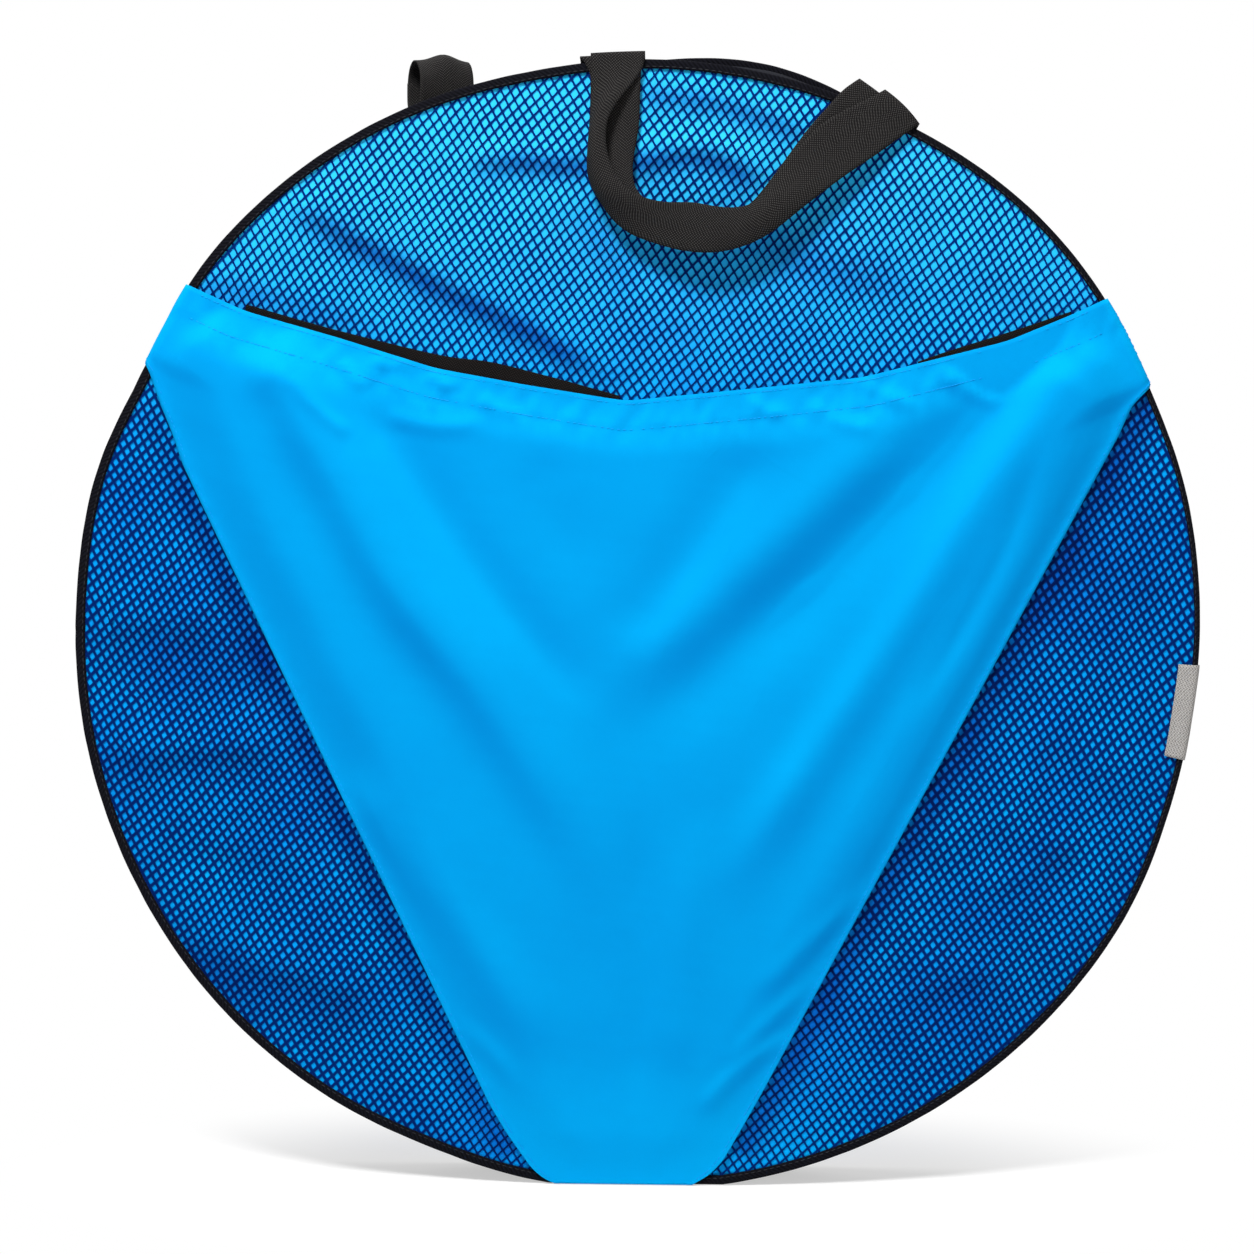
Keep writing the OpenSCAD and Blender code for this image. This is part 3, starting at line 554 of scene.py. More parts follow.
def setFloor():
    # a flat disc: for the camera it is part shaded and part glowing, so that shadows stay on white,
    # and it turns plain white with distance from the bag
    turn = np.linspace(0, 2 * math.pi, 65)[:-1]
    rim = np.stack([9 * np.cos(turn), 9 * np.sin(turn), np.zeros(64)], axis=1)
    made = bpy.data.materials.new("paleFloor")
    made.use_nodes = True
    tree = made.node_tree
    tree.nodes.remove(tree.nodes["Principled BSDF"])
    place = node(tree, "TexCoord").outputs["Object"]
    spread = node(tree, "VectorMath", {0: place, 1: (1.0, 1.9, 1.0)}, operation="MULTIPLY").outputs["Vector"]
    length = node(tree, "VectorMath", {0: spread}, operation="LENGTH").outputs["Value"]
    far = smoothRange(tree, length, studio["whiteFrom"], studio["whiteBy"])
    glow = node(tree, "Emission", {"Color": (1, 1, 1, 1), "Strength": studio["floorGlow"]}).outputs[0]
    shade = node(tree, "BsdfDiffuse", {"Color": (studio["floorTone"],) * 3 + (1,)}).outputs[0]
    near = node(tree, "AddShader", {0: glow, 1: shade}).outputs[0]
    white = node(tree, "Emission", {"Color": (1, 1, 1, 1), "Strength": 1.0}).outputs[0]
    shown = node(tree, "MixShader", {0: far, 1: near, 2: white}).outputs[0]
    other = node(tree, "BsdfDiffuse", {"Color": (0.8, 0.8, 0.8, 1)}).outputs[0]
    rays = node(tree, "LightPath").outputs["Is Camera Ray"]
    tree.links.new(node(tree, "MixShader", {0: rays, 1: other, 2: shown}).outputs[0],
                   tree.nodes["Material Output"].inputs[0])
    addMesh("floor", rim, np.arange(64)[None], None, made, smooth=False)


setCamera()
setLamps()
setFloor()
print("camera, lamps and floor set")


# ---- the two round faces: lining and mesh

bag = dict(
    # where each rim is out of round: degrees, mm, spread
    dents=[(0, -6.0, 20), (25, -3.0, 8), (47, 4.0, 14), (100, -2.0, 9), (127, 1.0, 14), (152, -8.0, 9),
           (175, -2.5, 12), (222, 2.0, 15), (248, -2.0, 7), (342, -3.0, 8), (352, -1.8, 5)],
    backDents=[(77, 14.0, 12), (131, 10.0, 15)],
    narrow=(8, 50, 0.42),                      # where the front binding is narrower: degrees, spread, share
    liningLevel=31.0, liningThickness=0.5,     # mm from the bag's middle
    frontSteps=190, backSteps=140,             # the linings' points each way
    meshLevel=32.3, strandRise=0.32,           # strands' crest, and how far their sides go down
    across=8.75, rows=5.95, opening=(6.15, 8.6), corner=1.12, lean=-8.0, closer=0.05,
    # from there out the rows turn down to the right: mm per mm squared
    slackLeft=(-200, -0.0005), slackRight=(200, 0.0004),
    pulls=[(-425, 400, 40, 2.4), (-422, 336, 100, -2.6), (-440, 357, 20, 2.2), (-340, 428, 70, 2.2),
           (-181, 865, 60, 2.2), (-210, 849, 120, -2.0), (-283, 814, 80, 2.0), (-213, 737, 45, 2.2),
           (-130, 905, 100, 1.8), (330, 470, 60, 2.0), (395, 330, 110, -2.2), (-250, 190, 50, 2.0)],
    # painted shade on the lining and the mesh: dark bands along the folds and the pocket's shadow beside its edges, as
    # ridges with a height from 0 to 1
    frontShade=[
        fold(0.85, 9, 14, [(-303, 842), (-270, 822), (-196, 782), (-151, 757), (-107, 738), (-57, 710), (-20, 690)],
             0.3, 0.2),
        fold(0.4, 10, 14, [(-380, 770), (-330, 762), (-270, 745), (-200, 728)]),
        fold(0.75, 9, 13, [(-150, 866), (-90, 868), (-37, 866), (47, 872), (80, 864), (112, 842)], 0.15, 0.15),
        fold(0.6, 9, 12, [(-5, 926), (30, 922), (62, 918), (121, 898), (150, 880)]),
        fold(0.35, 22, 22, [(-60, 850), (-30, 800), (10, 760)], 0.3, 0.3),
        fold(0.4, 20, 20, [(40, 850), (110, 800), (190, 770), (250, 770)], 0.3, 0.3),
        fold(0.32, 30, 34, [(-475, 470), (-394, 455), (-330, 446), (-300, 430)], start=0.02),
        fold(0.35, 12, 24, [(-475, 356), (-404, 362), (-344, 368), (-300, 360)], start=0.02),
        fold(0.45, 18, 26, [(-400, 200), (-374, 193), (-314, 173), (-255, 153), (-200, 120)]),
        fold(0.25, 20, 20, [(-420, 290), (-350, 300), (-290, 270)]),
        fold(0.3, 12, 18, [(240, 280), (260, 284), (300, 303), (350, 290), (390, 262)]),
        fold(0.25, 14, 18, [(205, 200), (260, 180), (330, 170)]),
        fold(0.2, 22, 26, [(350, 540), (400, 520), (455, 500)]),
        fold(0.4, 22, 22, [(455, 330), (430, 250), (380, 180), (320, 120)], 0.3, 0.3),
        fold(0.3, 22, 22, [(-455, 330), (-425, 250), (-370, 170), (-300, 105)], 0.3, 0.3),
        # painted shadow beside the pocket's left and right edges
        fold(0.62, 12, 12, [(-424, 690), (-394, 617), (-265, 343), (-136, 70), (-105, 22)], 0.35, 0.03),
        fold(0.75, 14, 14, [(446, 690), (415, 642), (266, 360), (117, 78), (88, 24)], 0.2, 0.03),
    ],
    backShade=[
        fold(0.5, 14, 20, [(-330, 770), (-180, 690), (-20, 648), (150, 678), (330, 748)]),
        fold(0.4, 12, 18, [(-350, 550), (-200, 508), (-40, 518)]),
        fold(0.4, 12, 18, [(60, 488), (200, 458), (360, 488)]),
        fold(0.45, 14, 20, [(-280, 318), (-120, 258), (40, 238), (200, 278)]),
    ],
    frontFolds=[
        fold(5.0, 42, 13, [(-380, 842), (-339, 847), (-298, 839), (-190, 790), (-115, 747), (-51, 710), (13, 688)],
             0.1, 0.12),
        fold(3.5, 16, 9, [(-150, 872), (-100, 872), (-40, 868)]),
        fold(3.5, 14, 9, [(-8, 858), (34, 881), (77, 875), (120, 854)]),
        fold(1.8, 14, 9, [(3, 921), (56, 924), (109, 913), (142, 892)]),
        fold(5.0, 42, 20, [(-450, 484), (-400, 488), (-345, 487)], start=0.05),
        fold(3.5, 26, 12, [(-450, 373), (-370, 376), (-288, 373)], start=0.05),
        fold(3.5, 26, 12, [(-350, 198), (-280, 180), (-215, 160)]),
        fold(2.5, 18, 12, [(-395, 305), (-330, 285), (-270, 280)]),
        fold(3.5, 26, 12, [(330, 402), (375, 372), (425, 325)]),
        fold(3.0, 20, 12, [(290, 252), (340, 282), (385, 300)]),
        fold(3.0, 20, 11, [(215, 170), (262, 176), (305, 196)]),
        fold(3.0, 24, 14, [(250, 800), (320, 770), (372, 742)]),
    ],
    backFolds=[
        fold(4.0, 48, 20, [(-330, 780), (-180, 700), (-20, 660), (150, 690), (330, 760)]),
        fold(3.5, 36, 16, [(-350, 560), (-200, 520), (-40, 530)]),
        fold(3.5, 36, 16, [(60, 500), (200, 470), (360, 500)]),
        fold(4.0, 34, 18, [(-280, 330), (-120, 270), (40, 250), (200, 290)]),
        fold(2.0, 18, 10, [(-90, 880), (0, 850), (110, 872)]),
        fold(3.0, 24, 12, [(-150, 140), (0, 110), (140, 135)]),
    ],
)


rim = dict(
    width=8.0, depth=5.0, squareness=0.5,      # the binding's profile in mm
    seam=dict(pitch=5.5, length=3.6, thread=0.75),
    bandRadius=473.8, tapeRadius=473.0, coilRadius=473.8, coilPitch=2.0, coilWire=0.55, coilWide=1.15, coilHigh=0.85,
    gussetSlack=1.6, gussetWaves=1.3,
)


def bell(angle, where, spread):
    # exp(-(degrees from where / spread)^2)
    return np.exp(-(((np.degrees(angle) - where + 180) % 360 - 180) / spread) ** 2)


def rimRadius(angle, front=True):
    # the round rim plus a bell-shaped dent or bulge at a few places
    dents = bag["dents"] if front else bag["backDents"]
    return bagRadius + sum(depth * mm * bell(angle, where, spread) for where, depth, spread in dents)


def bindingWidth(angle, front):
    where, spread, share = bag["narrow"]
    return rim["width"] * mm * (1 - share * front * bell(angle, where, spread))


def edgeRadius(angle, inset, low, front=True):
    # the rim's radius less an inset, cut off flat at a height above the floor
    down = np.maximum(-np.sin(angle), 1e-6)
    return np.minimum(rimRadius(angle, front) - inset, (bagCentre - low) / down)


def reliefMap(folds, swell, seed, front):
    # folds and a low ripple worked out once on a 2.5 mm grid and read back between its points,
    # fading to nothing at the rim
    axis = np.linspace(-0.5, 0.5, 401)
    x, z = np.meshgrid(axis, axis + bagCentre)
    table = ridges(x, z, folds) + swell * mm * (0.5 + 0.5 * ripple(x, z, seed, 0.26))
    table += 0.35 * mm * ripple(x, z, seed + 1, 0.07)
    inside = edgeRadius(np.arctan2(z - bagCentre, x), 0.010, 0.012, front) - np.hypot(x, z - bagCentre)
    table = np.maximum(table, 0) * ease(inside / 0.028)

    def read(px, pz):
        a = np.clip((px + 0.5) * 400, 0, 399.999)
        b = np.clip((pz - bagCentre + 0.5) * 400, 0, 399.999)
        i, j = a.astype(int), b.astype(int)
        f, g = a - i, b - j
        low = table[j, i] * (1 - f) + table[j, i + 1] * f
        return low * (1 - g) + (table[j + 1, i] * (1 - f) + table[j + 1, i + 1] * f) * g
    return read


frontRelief = reliefMap(bag["frontFolds"], 1.6, 11, True)
backRelief = reliefMap(bag["backFolds"], 2.2, 23, False)


def buildLining(name, side, relief, body):
    # a square grid squeezed into a circle, x = u sqrt(1 - v^2/2), z = v sqrt(1 - u^2/2), stretched to the rim
    steps = np.linspace(-1, 1, bag["frontSteps"] if side < 0 else bag["backSteps"])
    u, v = np.meshgrid(steps, steps)
    x, z = u * np.sqrt(1 - v * v / 2), v * np.sqrt(1 - u * u / 2)
    turn = np.arctan2(z, x)
    reach = edgeRadius(turn, 0.7 * bindingWidth(turn, side < 0), faceFoot, side < 0)
    x, z = x * reach, z * reach + bagCentre
    grid = np.stack([x, side * (bag["liningLevel"] * mm + relief(x, z)), z], axis=-1)
    if side > 0:
        grid = grid[:, ::-1]
    # the shade attribute carries painted shade for the folds and beside the pocket
    made = addCloth(name + "_cloth", grid, bag["liningThickness"] * mm, body, materials["lining"],
                    shade=paintedFoldShade(grid, side))
    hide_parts(name)


def paintedFoldShade(points, side):
    # 0 to 1: how much painted shade the lining and mesh get, in the folds and beside the pocket
    depth = ridges(points[..., 0], points[..., 2], bag["frontShade"] if side < 0 else bag["backShade"]) / mm
    return np.clip(depth + 0.10 * ripple(points[..., 0], points[..., 2], 15, 0.09), 0, 0.95)


def buildMeshFace(name, side, relief, body):
    # knitted mesh: rhombic cells in offset rows, each a ring of 12 quads round an opening
    # |x/a|^p + |z/b|^p = 1; neighbours share the points between them, which stand higher than the opening's edge
    stepX, stepZ = bag["across"] * mm / 6, bag["rows"] * mm / 3
    corner = np.array([(3, 0), (2, 1), (1, 2), (0, 3), (-1, 2), (-2, 1), (-3, 0), (-2, -1), (-1, -2), (0, -3),
                       (1, -2), (2, -1)])
    row, column = np.meshgrid(np.arange(-96, 97), np.arange(-66, 67), indexing="ij")
    centre = np.stack([3 * (2 * column + row % 2), 3 * row], axis=-1).reshape(-1, 2)
    lean = math.radians(bag["lean"]) * -side

    def warp(u, v):
        # turned by the lean, drawn closer towards the foot and the sides, sagging beyond the slack lines, and uneven
        x, z = u * math.cos(lean) - v * math.sin(lean), u * math.sin(lean) + v * math.cos(lean)
        x, z = x * (1 - 0.11 * x * x), z + bag["closer"] * (0.48 - z) ** 2
        left, right = bag["slackLeft"], bag["slackRight"]
        hang = left[1] / 2 * np.maximum(left[0] - x * 1000, 0) ** 2
        hang = hang + right[1] / 2 * np.maximum(x * 1000 - right[0], 0) ** 2
        dx = 1.8 * ripple(x, z, 5, 0.2) + 0.5 * ripple(x, z, 7, 0.05)
        dz = 1.8 * ripple(x, z, 6, 0.2) + 0.5 * ripple(x, z, 8, 0.05)
        for px, pz, turn, push in bag["pulls"]:          # snagged spots: push times exp(-(distance / 9 mm)^2)
            near = push * np.exp(-((x - px * mm) ** 2 + (z + bagCentre - pz * mm) ** 2) / 0.009 ** 2)
            dx, dz = dx + near * math.cos(math.radians(turn)), dz + near * math.sin(math.radians(turn))
        return x + dx * mm, z + (dz - hang) * mm + bagCentre

    def toRim(x, z):
        angle, far = np.arctan2(z - bagCentre, x), np.hypot(x, z - bagCentre)
        limit = edgeRadius(angle, 0.6 * bindingWidth(angle, side < 0), faceFoot - 0.0005, side < 0)
        share = np.minimum(limit / np.maximum(far, 1e-6), 1)
        return x * share, bagCentre + (z - bagCentre) * share, far - limit

    cx, cz = warp(centre[:, 0] * stepX, centre[:, 1] * stepZ)
    keep = toRim(cx, cz)[2] < 0.0025
    centre, cx, cz = centre[keep], cx[keep], cz[keep]
    for half, chosen in (("left", cx < 0), ("right", cx >= 0)):
        own = centre[chosen]
        spots = own[:, None] + corner
        keys, index = np.unique((spots[..., 0] + 5000) * 100000 + spots[..., 1] + 5000, return_inverse=True)
        index = index.reshape(len(own), 12)
        bx, bz = warp((keys // 100000 - 5000) * stepX, (keys % 100000 - 5000) * stepZ)
        way = np.arctan2(corner[:, 1] * stepZ, corner[:, 0] * stepX)
        a, b = (s * mm / 2 for s in bag["opening"])
        p = bag["corner"]
        reach = (np.abs(np.cos(way) / a) ** p + np.abs(np.sin(way) / b) ** p) ** (-1 / p)
        ox, oz = cx[chosen], cz[chosen]
        size = 1 - 0.21 * ease((0.76 - oz) / 0.14) * ease((np.abs(ox) - 0.12) / 0.1)
        size = size + 0.07 * ripple(ox, oz, 9, 0.03) + 0.06 * ripple(ox, oz, 10, 0.15)
        hx, hz = warp(own[:, 0:1] * stepX + size[:, None] * reach * np.cos(way),
                      own[:, 1:2] * stepZ + size[:, None] * reach * np.sin(way))
        x, z, _ = toRim(np.concatenate([bx, hx.ravel()]), np.concatenate([bz, hz.ravel()]))
        inward = np.concatenate([np.zeros(len(bx)), np.ones(hx.size)])
        points = np.stack([x, side * (bag["meshLevel"] * mm - inward * bag["strandRise"] * mm + relief(x, z)), z],
                          axis=-1)
        inner = len(bx) + np.arange(len(own) * 12).reshape(-1, 12)
        quads = np.stack([index, np.roll(index, -1, 1), np.roll(inner, -1, 1), inner], axis=-1).reshape(-1, 4)
        if side > 0:
            quads = quads[:, ::-1]
        # the shade attribute carries painted shade for the folds and beside the pocket
        made = addMesh(name + "_" + half, points, quads, body, materials["meshCord"], uv=np.stack([inward, z], axis=1),
                       shade=0.8 * paintedFoldShade(points, side))
        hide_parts(name)


buildLining("front_lining", -1, frontRelief, "cover")
buildMeshFace("front_mesh", -1, frontRelief, "cover")
buildLining("back_lining", 1, backRelief, "tray")
buildMeshFace("back_mesh", 1, backRelief, "tray")
print("faces built")


# ---- rims, bands, zip and base

zipFrom, zipTo = math.radians(-78), math.radians(258)


def sweepRing(line, outward, profile):
    # a closed profile of (outward, y) offsets carried along a line
    rings = line[:, None] + outward[:, None] * profile[..., 0:1] + np.array([0, 1.0, 0]) * profile[..., 1:2]
    count, cols = rings.shape[:2]
    faces = gridFaces(count + 1, cols, around=True) % (count * cols)
    girth = np.linalg.norm(np.diff(rings, axis=1), axis=2)
    u = np.concatenate([np.zeros((count, 1)), np.cumsum(girth, axis=1)], axis=1)
    v = lengthAlong(line)
    return rings, faces, np.stack([u, np.repeat(v[:, None], cols, axis=1)], axis=-1)


def outwardFrom(line):
    # in the plane of the face, a quarter turn from the line's own direction
    step = np.roll(line, -1, 0) - np.roll(line, 1, 0)
    return unit(np.stack([step[:, 2], np.zeros(len(step)), -step[:, 0]], axis=1))


def around(angle, radius, y):
    # the point at an angle and radius from the bag's middle
    angle, radius, y = np.broadcast_arrays(angle, radius, y)
    return np.stack([radius * np.cos(angle), y, bagCentre + radius * np.sin(angle)], axis=-1)


def buildBinding(name, side, y, body):
    angle = np.linspace(-math.pi, math.pi, 841)[:-1]
    half = (bindingWidth(angle, side < 0) / 2)[:, None]
    line = around(angle, edgeRadius(angle, half[:, 0], half[:, 0] + 0.0006, side < 0), y)
    line[:, 1] += side * 0.25 * mm * ripple(angle * 0.48, 0 * angle, 31, 0.09)
    turn = np.linspace(0, 2 * math.pi, 18, endpoint=False)
    soft = rim["squareness"]
    size = 1 + 0.05 * ripple(angle * 0.48, 0 * angle, 33 + side, 0.05)[:, None]
    out = half * signedPower(np.cos(turn), soft) * size
    deep = rim["depth"] * mm / 2 * signedPower(np.sin(turn), soft) * size
    points, faces, uv = sweepRing(line, outwardFrom(line), np.stack([out, deep], axis=-1))
    made = addMesh(name + "_tape", points, faces, body, materials["binding"], uv)
    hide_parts(name)
    inset = 1.57 * half[:, 0]
    sewn = around(angle, edgeRadius(angle, inset, inset, side < 0), y + side * rim["depth"] * mm * 0.485)
    sewn = np.concatenate([sewn, sewn[:1]])
    facing = np.zeros_like(sewn) + [0, side, 0]
    points, faces, _ = stitches(sewn, facing, rim["seam"])
    seam = addMesh(name + "_stitching", points, faces, body, materials["blackThread"])


bands = {                                      # y from and to in m, radius and thickness in mm, points round and across
    "front_band": (-0.0300, bandEnd - 0.0003, rim["bandRadius"], 0.8, 700, 7),
    "gusset": (-0.0112, 0.0300, rim["bandRadius"], 0.8, 600, 24),
    "front_zip_half": (-0.0250, -0.0183, rim["tapeRadius"], 0.5, 600, 6),
    "back_zip_half": (-0.0157, -0.0095, rim["tapeRadius"], 0.5, 600, 6),
}


def buildBand(name, body, finish, extra=None):
    # cloth round the bag: rows run round it and columns across, at a radius that extra(angle, y) changes
    first, last, radius, thickness, rows, cols = bands[name]
    angle, y = np.meshgrid(np.linspace(zipFrom, zipTo, rows), np.linspace(first, last, cols), indexing="ij")
    reach = radius * mm + (extra(angle, y) if extra else 0)
    made = addCloth(name + "_cloth", around(angle, reach, y), thickness * mm, body, materials[finish])
    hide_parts(name)
    return made


def bandShape(angle, y):
    rise = rimRadius(angle) - bagRadius
    return rise * ease((bandEnd - y) / 0.006) + 0.35 * mm * ripple(angle * 0.47, y, 41, 0.06)


def gussetShape(angle, y):
    # slack between its two seams: a shallow hollow and waves that die out at the seams
    t = (y - zipY) / (backRimY - zipY)
    belly = np.clip(4 * t * (1 - t), 0, 1)
    belly *= 1 - ease((-np.sin(angle) - 0.35) / 0.3)       # the lowest hubs hold it out round the foot
    waves = rim["gussetWaves"] * ripple(angle * 0.47, y * 0.35, 43, 0.13) + 0.5 * ripple(angle * 0.47, y, 44, 0.04)
    follow = (rimRadius(angle, False) - bagRadius) * ease((y - 0.002) / 0.024)
    return follow - belly * mm * (rim["gussetSlack"] - 1.6 * waves)


def buildCoil(name, y, phase, body):
    # a coil as the zip's teeth: radius + high cos(w), y + wide sin(w), with w one turn for each pitch round the bag
    turns = int((zipTo - zipFrom) * rim["coilRadius"] / rim["coilPitch"])
    w = np.linspace(0, 2 * math.pi * turns, turns * 6 + 1)
    angle = np.linspace(zipFrom + 0.006, zipTo - 0.006, len(w))
    line = around(angle, (rim["coilRadius"] + rim["coilHigh"] * np.cos(w + phase)) * mm,
                  y + rim["coilWide"] * mm * np.sin(w + phase))
    guide = np.stack([-np.sin(angle), 0 * angle, np.cos(angle)], axis=1)
    points, faces, uv = tubes(line[None], rim["coilWire"] * mm / 2, sides=4, guide=guide[None])
    made = addMesh(name, points, faces, body, materials["zipCoil"], uv)


base = dict(                                   # degrees, and metres apart from the thickness
    angles=(-102.3, -77.7), steps=(90, 62), front=-0.0318, back=0.0292, thickness=0.9,
    radius=0.4788, rise=0.0008, dip=0.0046, dipFrom=10.9, dipOver=1.3,
    bendFrom=-0.0270, bendTo=-0.0320,
    seams=(-0.026, 0.026), seamAngles=(-101.5, -78.5), seamRadius=0.4793, seamRise=0.0004,
)


def buildBase():
    # the uncut strip that the bag stands on: it follows the rims, flat at the floor, and dips to the gusset
    # at its ends; its front edge goes under the front rim and turns with the cover
    turn = np.radians(np.linspace(*base["angles"], base["steps"][0]))
    angle, y = np.meshgrid(turn, np.linspace(base["front"], base["back"], base["steps"][1]), indexing="ij")
    ends = ease((np.abs(np.degrees(angle) + 90) - base["dipFrom"]) / base["dipOver"])
    reach = np.minimum(base["radius"] - base["dip"] * ends, (bagCentre - base["rise"]) / -np.sin(angle))
    sag = 0.5 * mm * ripple(angle * 0.47, y, 51, 0.05) * (1 - ease((np.abs(y) - 0.022) / 0.006))
    made = addCloth("base_strip_cloth", around(angle, reach - np.abs(sag), y), base["thickness"] * mm, None,
                    materials["gussetCloth"])
    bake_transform(made)
    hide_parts("base_strip")
    for k, place in enumerate(base["seams"]):
        t = np.radians(np.linspace(*base["seamAngles"], 60))
        sewn = around(t, np.minimum(base["seamRadius"], (bagCentre - base["seamRise"]) / -np.sin(t)), place)
        points, faces, _ = stitches(sewn, around(t, 1.0, 0) - [0, 0, bagCentre], rim["seam"])
        addMesh("base_stitching_%d" % (k + 1), points, faces, "tray", materials["blackThread"])


buildBinding("front_binding", -1, frontRimY, "cover")
buildBinding("back_binding", 1, backRimY, "tray")
band = buildBand("front_band", "cover", "gussetCloth", bandShape)
gusset = buildBand("gusset", "tray", "gussetCloth", gussetShape)
frontTape = buildBand("front_zip_half", "cover", "closureTape")
backTape = buildBand("back_zip_half", "tray", "closureTape")
buildCoil("front_zip_coil", zipY - 0.0010, 0.0, "cover")
buildCoil("back_zip_coil", zipY + 0.0010, math.pi, "tray")
buildBase()
print("rims, bands and zip built")


# ---- the pocket on the front face

pocket = dict(
    grid=(196, 196), thickness=0.9, lift=3.0, belly=6.0, turnFrom=477.0, turn=4.7, behind=489.0,
    mouth=[(-382.6, 768.6), (-328, 745.5), (-250, 723.3), (-168, 697.7), (-93, 684), (-8.5, 670.4), (105.9, 681.5),
           (190.4, 690), (310, 720), (362, 741.3), (396.3, 756.6)],
    left=[(-388.6, 760.1), (-398, 741.3), (-411.6, 717.4), (-413.3, 708.8), (-411.6, 696.9), (-402.2, 668.7),
          (-392, 643), (-383.4, 616.6), (-254.5, 343.3), (-125.5, 70), (-111, 45.3), (-97.4, 25.6), (-88.8, 13.7),
          (-78.6, 5.1), (-69.2, 0.9)],
    right=[(401.4, 746.4), (405.7, 742.1), (414.2, 728.5), (421, 712.2), (426.1, 700.3), (430.4, 687.5),
           (414.2, 666.1), (403.9, 642.2), (255.3, 360.4), (106.8, 78.6), (89.7, 47.8), (75.2, 22.2), (64.1, 10.2),
           (48.7, 0.8)],
    # shade: how strongly the pocket's painted light and shade follow which way the cloth faces
    hem=25.0, sideHem=5.0, mouthSeam=3.5, seam=dict(pitch=4.4, length=2.5, thread=0.8), shade=1.5,
    folds=[
        # left half: crests from the corner down to the middle of the foot
        fold(4.0, 34, 30, [(-372, 742), (-352, 700), (-330, 640), (-298, 560), (-255, 470), (-200, 365), (-150, 270),
                           (-105, 180)], 0.08, 0.3),
        fold(10.5, 36, 25, [(-322, 728), (-293, 683), (-276, 648), (-250, 604), (-202, 517), (-132, 429), (-75, 342),
                            (-40, 281), (-15, 240)], 0.1, 0.5),
        fold(-3.0, 22, 16, [(-236, 690), (-205, 640), (-160, 570), (-110, 500), (-60, 440), (-30, 405)], 0.2, 0.3),
        fold(3.2, 24, 22, [(-250, 360), (-200, 290), (-140, 215), (-95, 150), (-70, 95)], 0.15, 0.3),
        # right half
        fold(3.6, 28, 24, [(392, 728), (372, 660), (335, 570), (290, 480), (240, 390), (190, 300), (140, 210),
                           (95, 130)], 0.06, 0.3),
        fold(6.5, 20, 24, [(372, 722), (330, 655), (290, 590), (245, 515), (200, 445), (150, 370), (105, 300),
                           (70, 240)], 0.08, 0.25),
        fold(-6.5, 30, 34, [(362, 735), (318, 690), (262, 632), (205, 575), (150, 520), (95, 470), (45, 425),
                            (-5, 388), (-60, 350)], 0.06, 0.5),
        fold(4.5, 26, 28, [(240, 672), (180, 610), (110, 545), (50, 490), (5, 450), (-35, 412)], 0.2, 0.4),
        fold(-2.2, 10, 9, [(338, 640), (315, 560), (275, 480), (225, 395)], 0.3, 0.3),
        # the middle
        fold(-3.0, 26, 20, [(120, 640), (75, 590), (30, 520), (-8, 455)], 0.25, 0.2),
        fold(-1.6, 26, 22, [(-55, 640), (-75, 600), (-60, 560), (-30, 500)], 0.3, 0.3),
        fold(-1.8, 16, 16, [(4, 350), (3, 250), (4, 150), (4, 60)], 0.3, 0.2),
        fold(2.4, 20, 20, [(60, 330), (45, 240), (38, 150), (36, 90)], 0.3, 0.3),
        # small creases beside the right edge, near the foot
        fold(2.2, 8, 10, [(52, 62), (78, 92), (112, 118), (140, 128)], 0.2, 0.2),
        fold(1.8, 9, 10, [(75, 100), (110, 140), (150, 172), (176, 190)], 0.2, 0.2),
        fold(1.6, 10, 10, [(100, 160), (140, 205), (180, 240), (208, 262)], 0.2, 0.2),
        fold(1.6, 10, 10, [(-190, 170), (-160, 140), (-120, 110), (-92, 70)], 0.2, 0.3),
        # short puckers under the hem
        fold(1.6, 5, 6, [(-250, 706), (-236, 690), (-222, 682)]),
        fold(1.5, 5, 6, [(-226, 706), (-205, 700), (-190, 706)]),
        fold(1.6, 5, 6, [(-176, 694), (-160, 684), (-141, 686)]),
        fold(1.4, 5, 6, [(-132, 676), (-112, 662), (-95, 660)]),
        fold(1.5, 5, 6, [(90, 676), (110, 662), (128, 660)]),
        fold(1.5, 6, 7, [(140, 672), (175, 652), (205, 650)]),
        fold(1.5, 6, 7, [(180, 690), (215, 672), (240, 668)]),
        fold(1.8, 6, 8, [(250, 700), (285, 676), (310, 668)]),
        fold(1.4, 6, 7, [(-300, 700), (-262, 660), (-236, 640)]),
        fold(1.3, 6, 8, [(-215, 660), (-170, 650), (-120, 652)]),
    ],
)


def rimTurn(x, z, level, settings):
    # a flat point beyond the rim's front edge goes round it: an arc of a small radius, then straight back
    angle, far = np.arctan2(z - bagCentre, x), np.hypot(x, z - bagCentre)
    begin = settings["turnFrom"] * mm + rimRadius(angle) - bagRadius
    turn = settings["turn"] * mm
    over = np.maximum(far - begin, 0)
    bend = np.minimum(over / turn, math.pi / 2)
    reach = np.minimum(far, begin) + turn * np.sin(bend)
    y = level + turn * (1 - np.cos(bend)) + np.maximum(over - turn * math.pi / 2, 0)
    return np.stack([reach * np.cos(angle), y, bagCentre + reach * np.sin(angle)], axis=-1)


def patchBetween(bottom, top, left, right):
    # a Coons patch: each point is the sum of the two blends between facing edges less the blend of the corners
    v = np.linspace(0, 1, len(left))[:, None, None]
    u = np.linspace(0, 1, len(bottom))[None, :, None]
    corners = (1 - v) * ((1 - u) * bottom[0] + u * bottom[-1]) + v * ((1 - u) * top[0] + u * top[-1])
    return (1 - v) * bottom[None] + v * top[None] + (1 - u) * left[:, None] + u * right[:, None] - corners


def atDistance(grid, along, where):
    # the point of each column at which a distance, which grows with the row, passes a value
    k = np.clip((along < where).sum(axis=0), 1, len(along) - 1)
    c = np.arange(grid.shape[1])
    f = ((where - along[k - 1, c]) / np.maximum(along[k, c] - along[k - 1, c], 1e-9))[:, None]
    return grid[k - 1, c] * (1 - f) + grid[k, c] * f


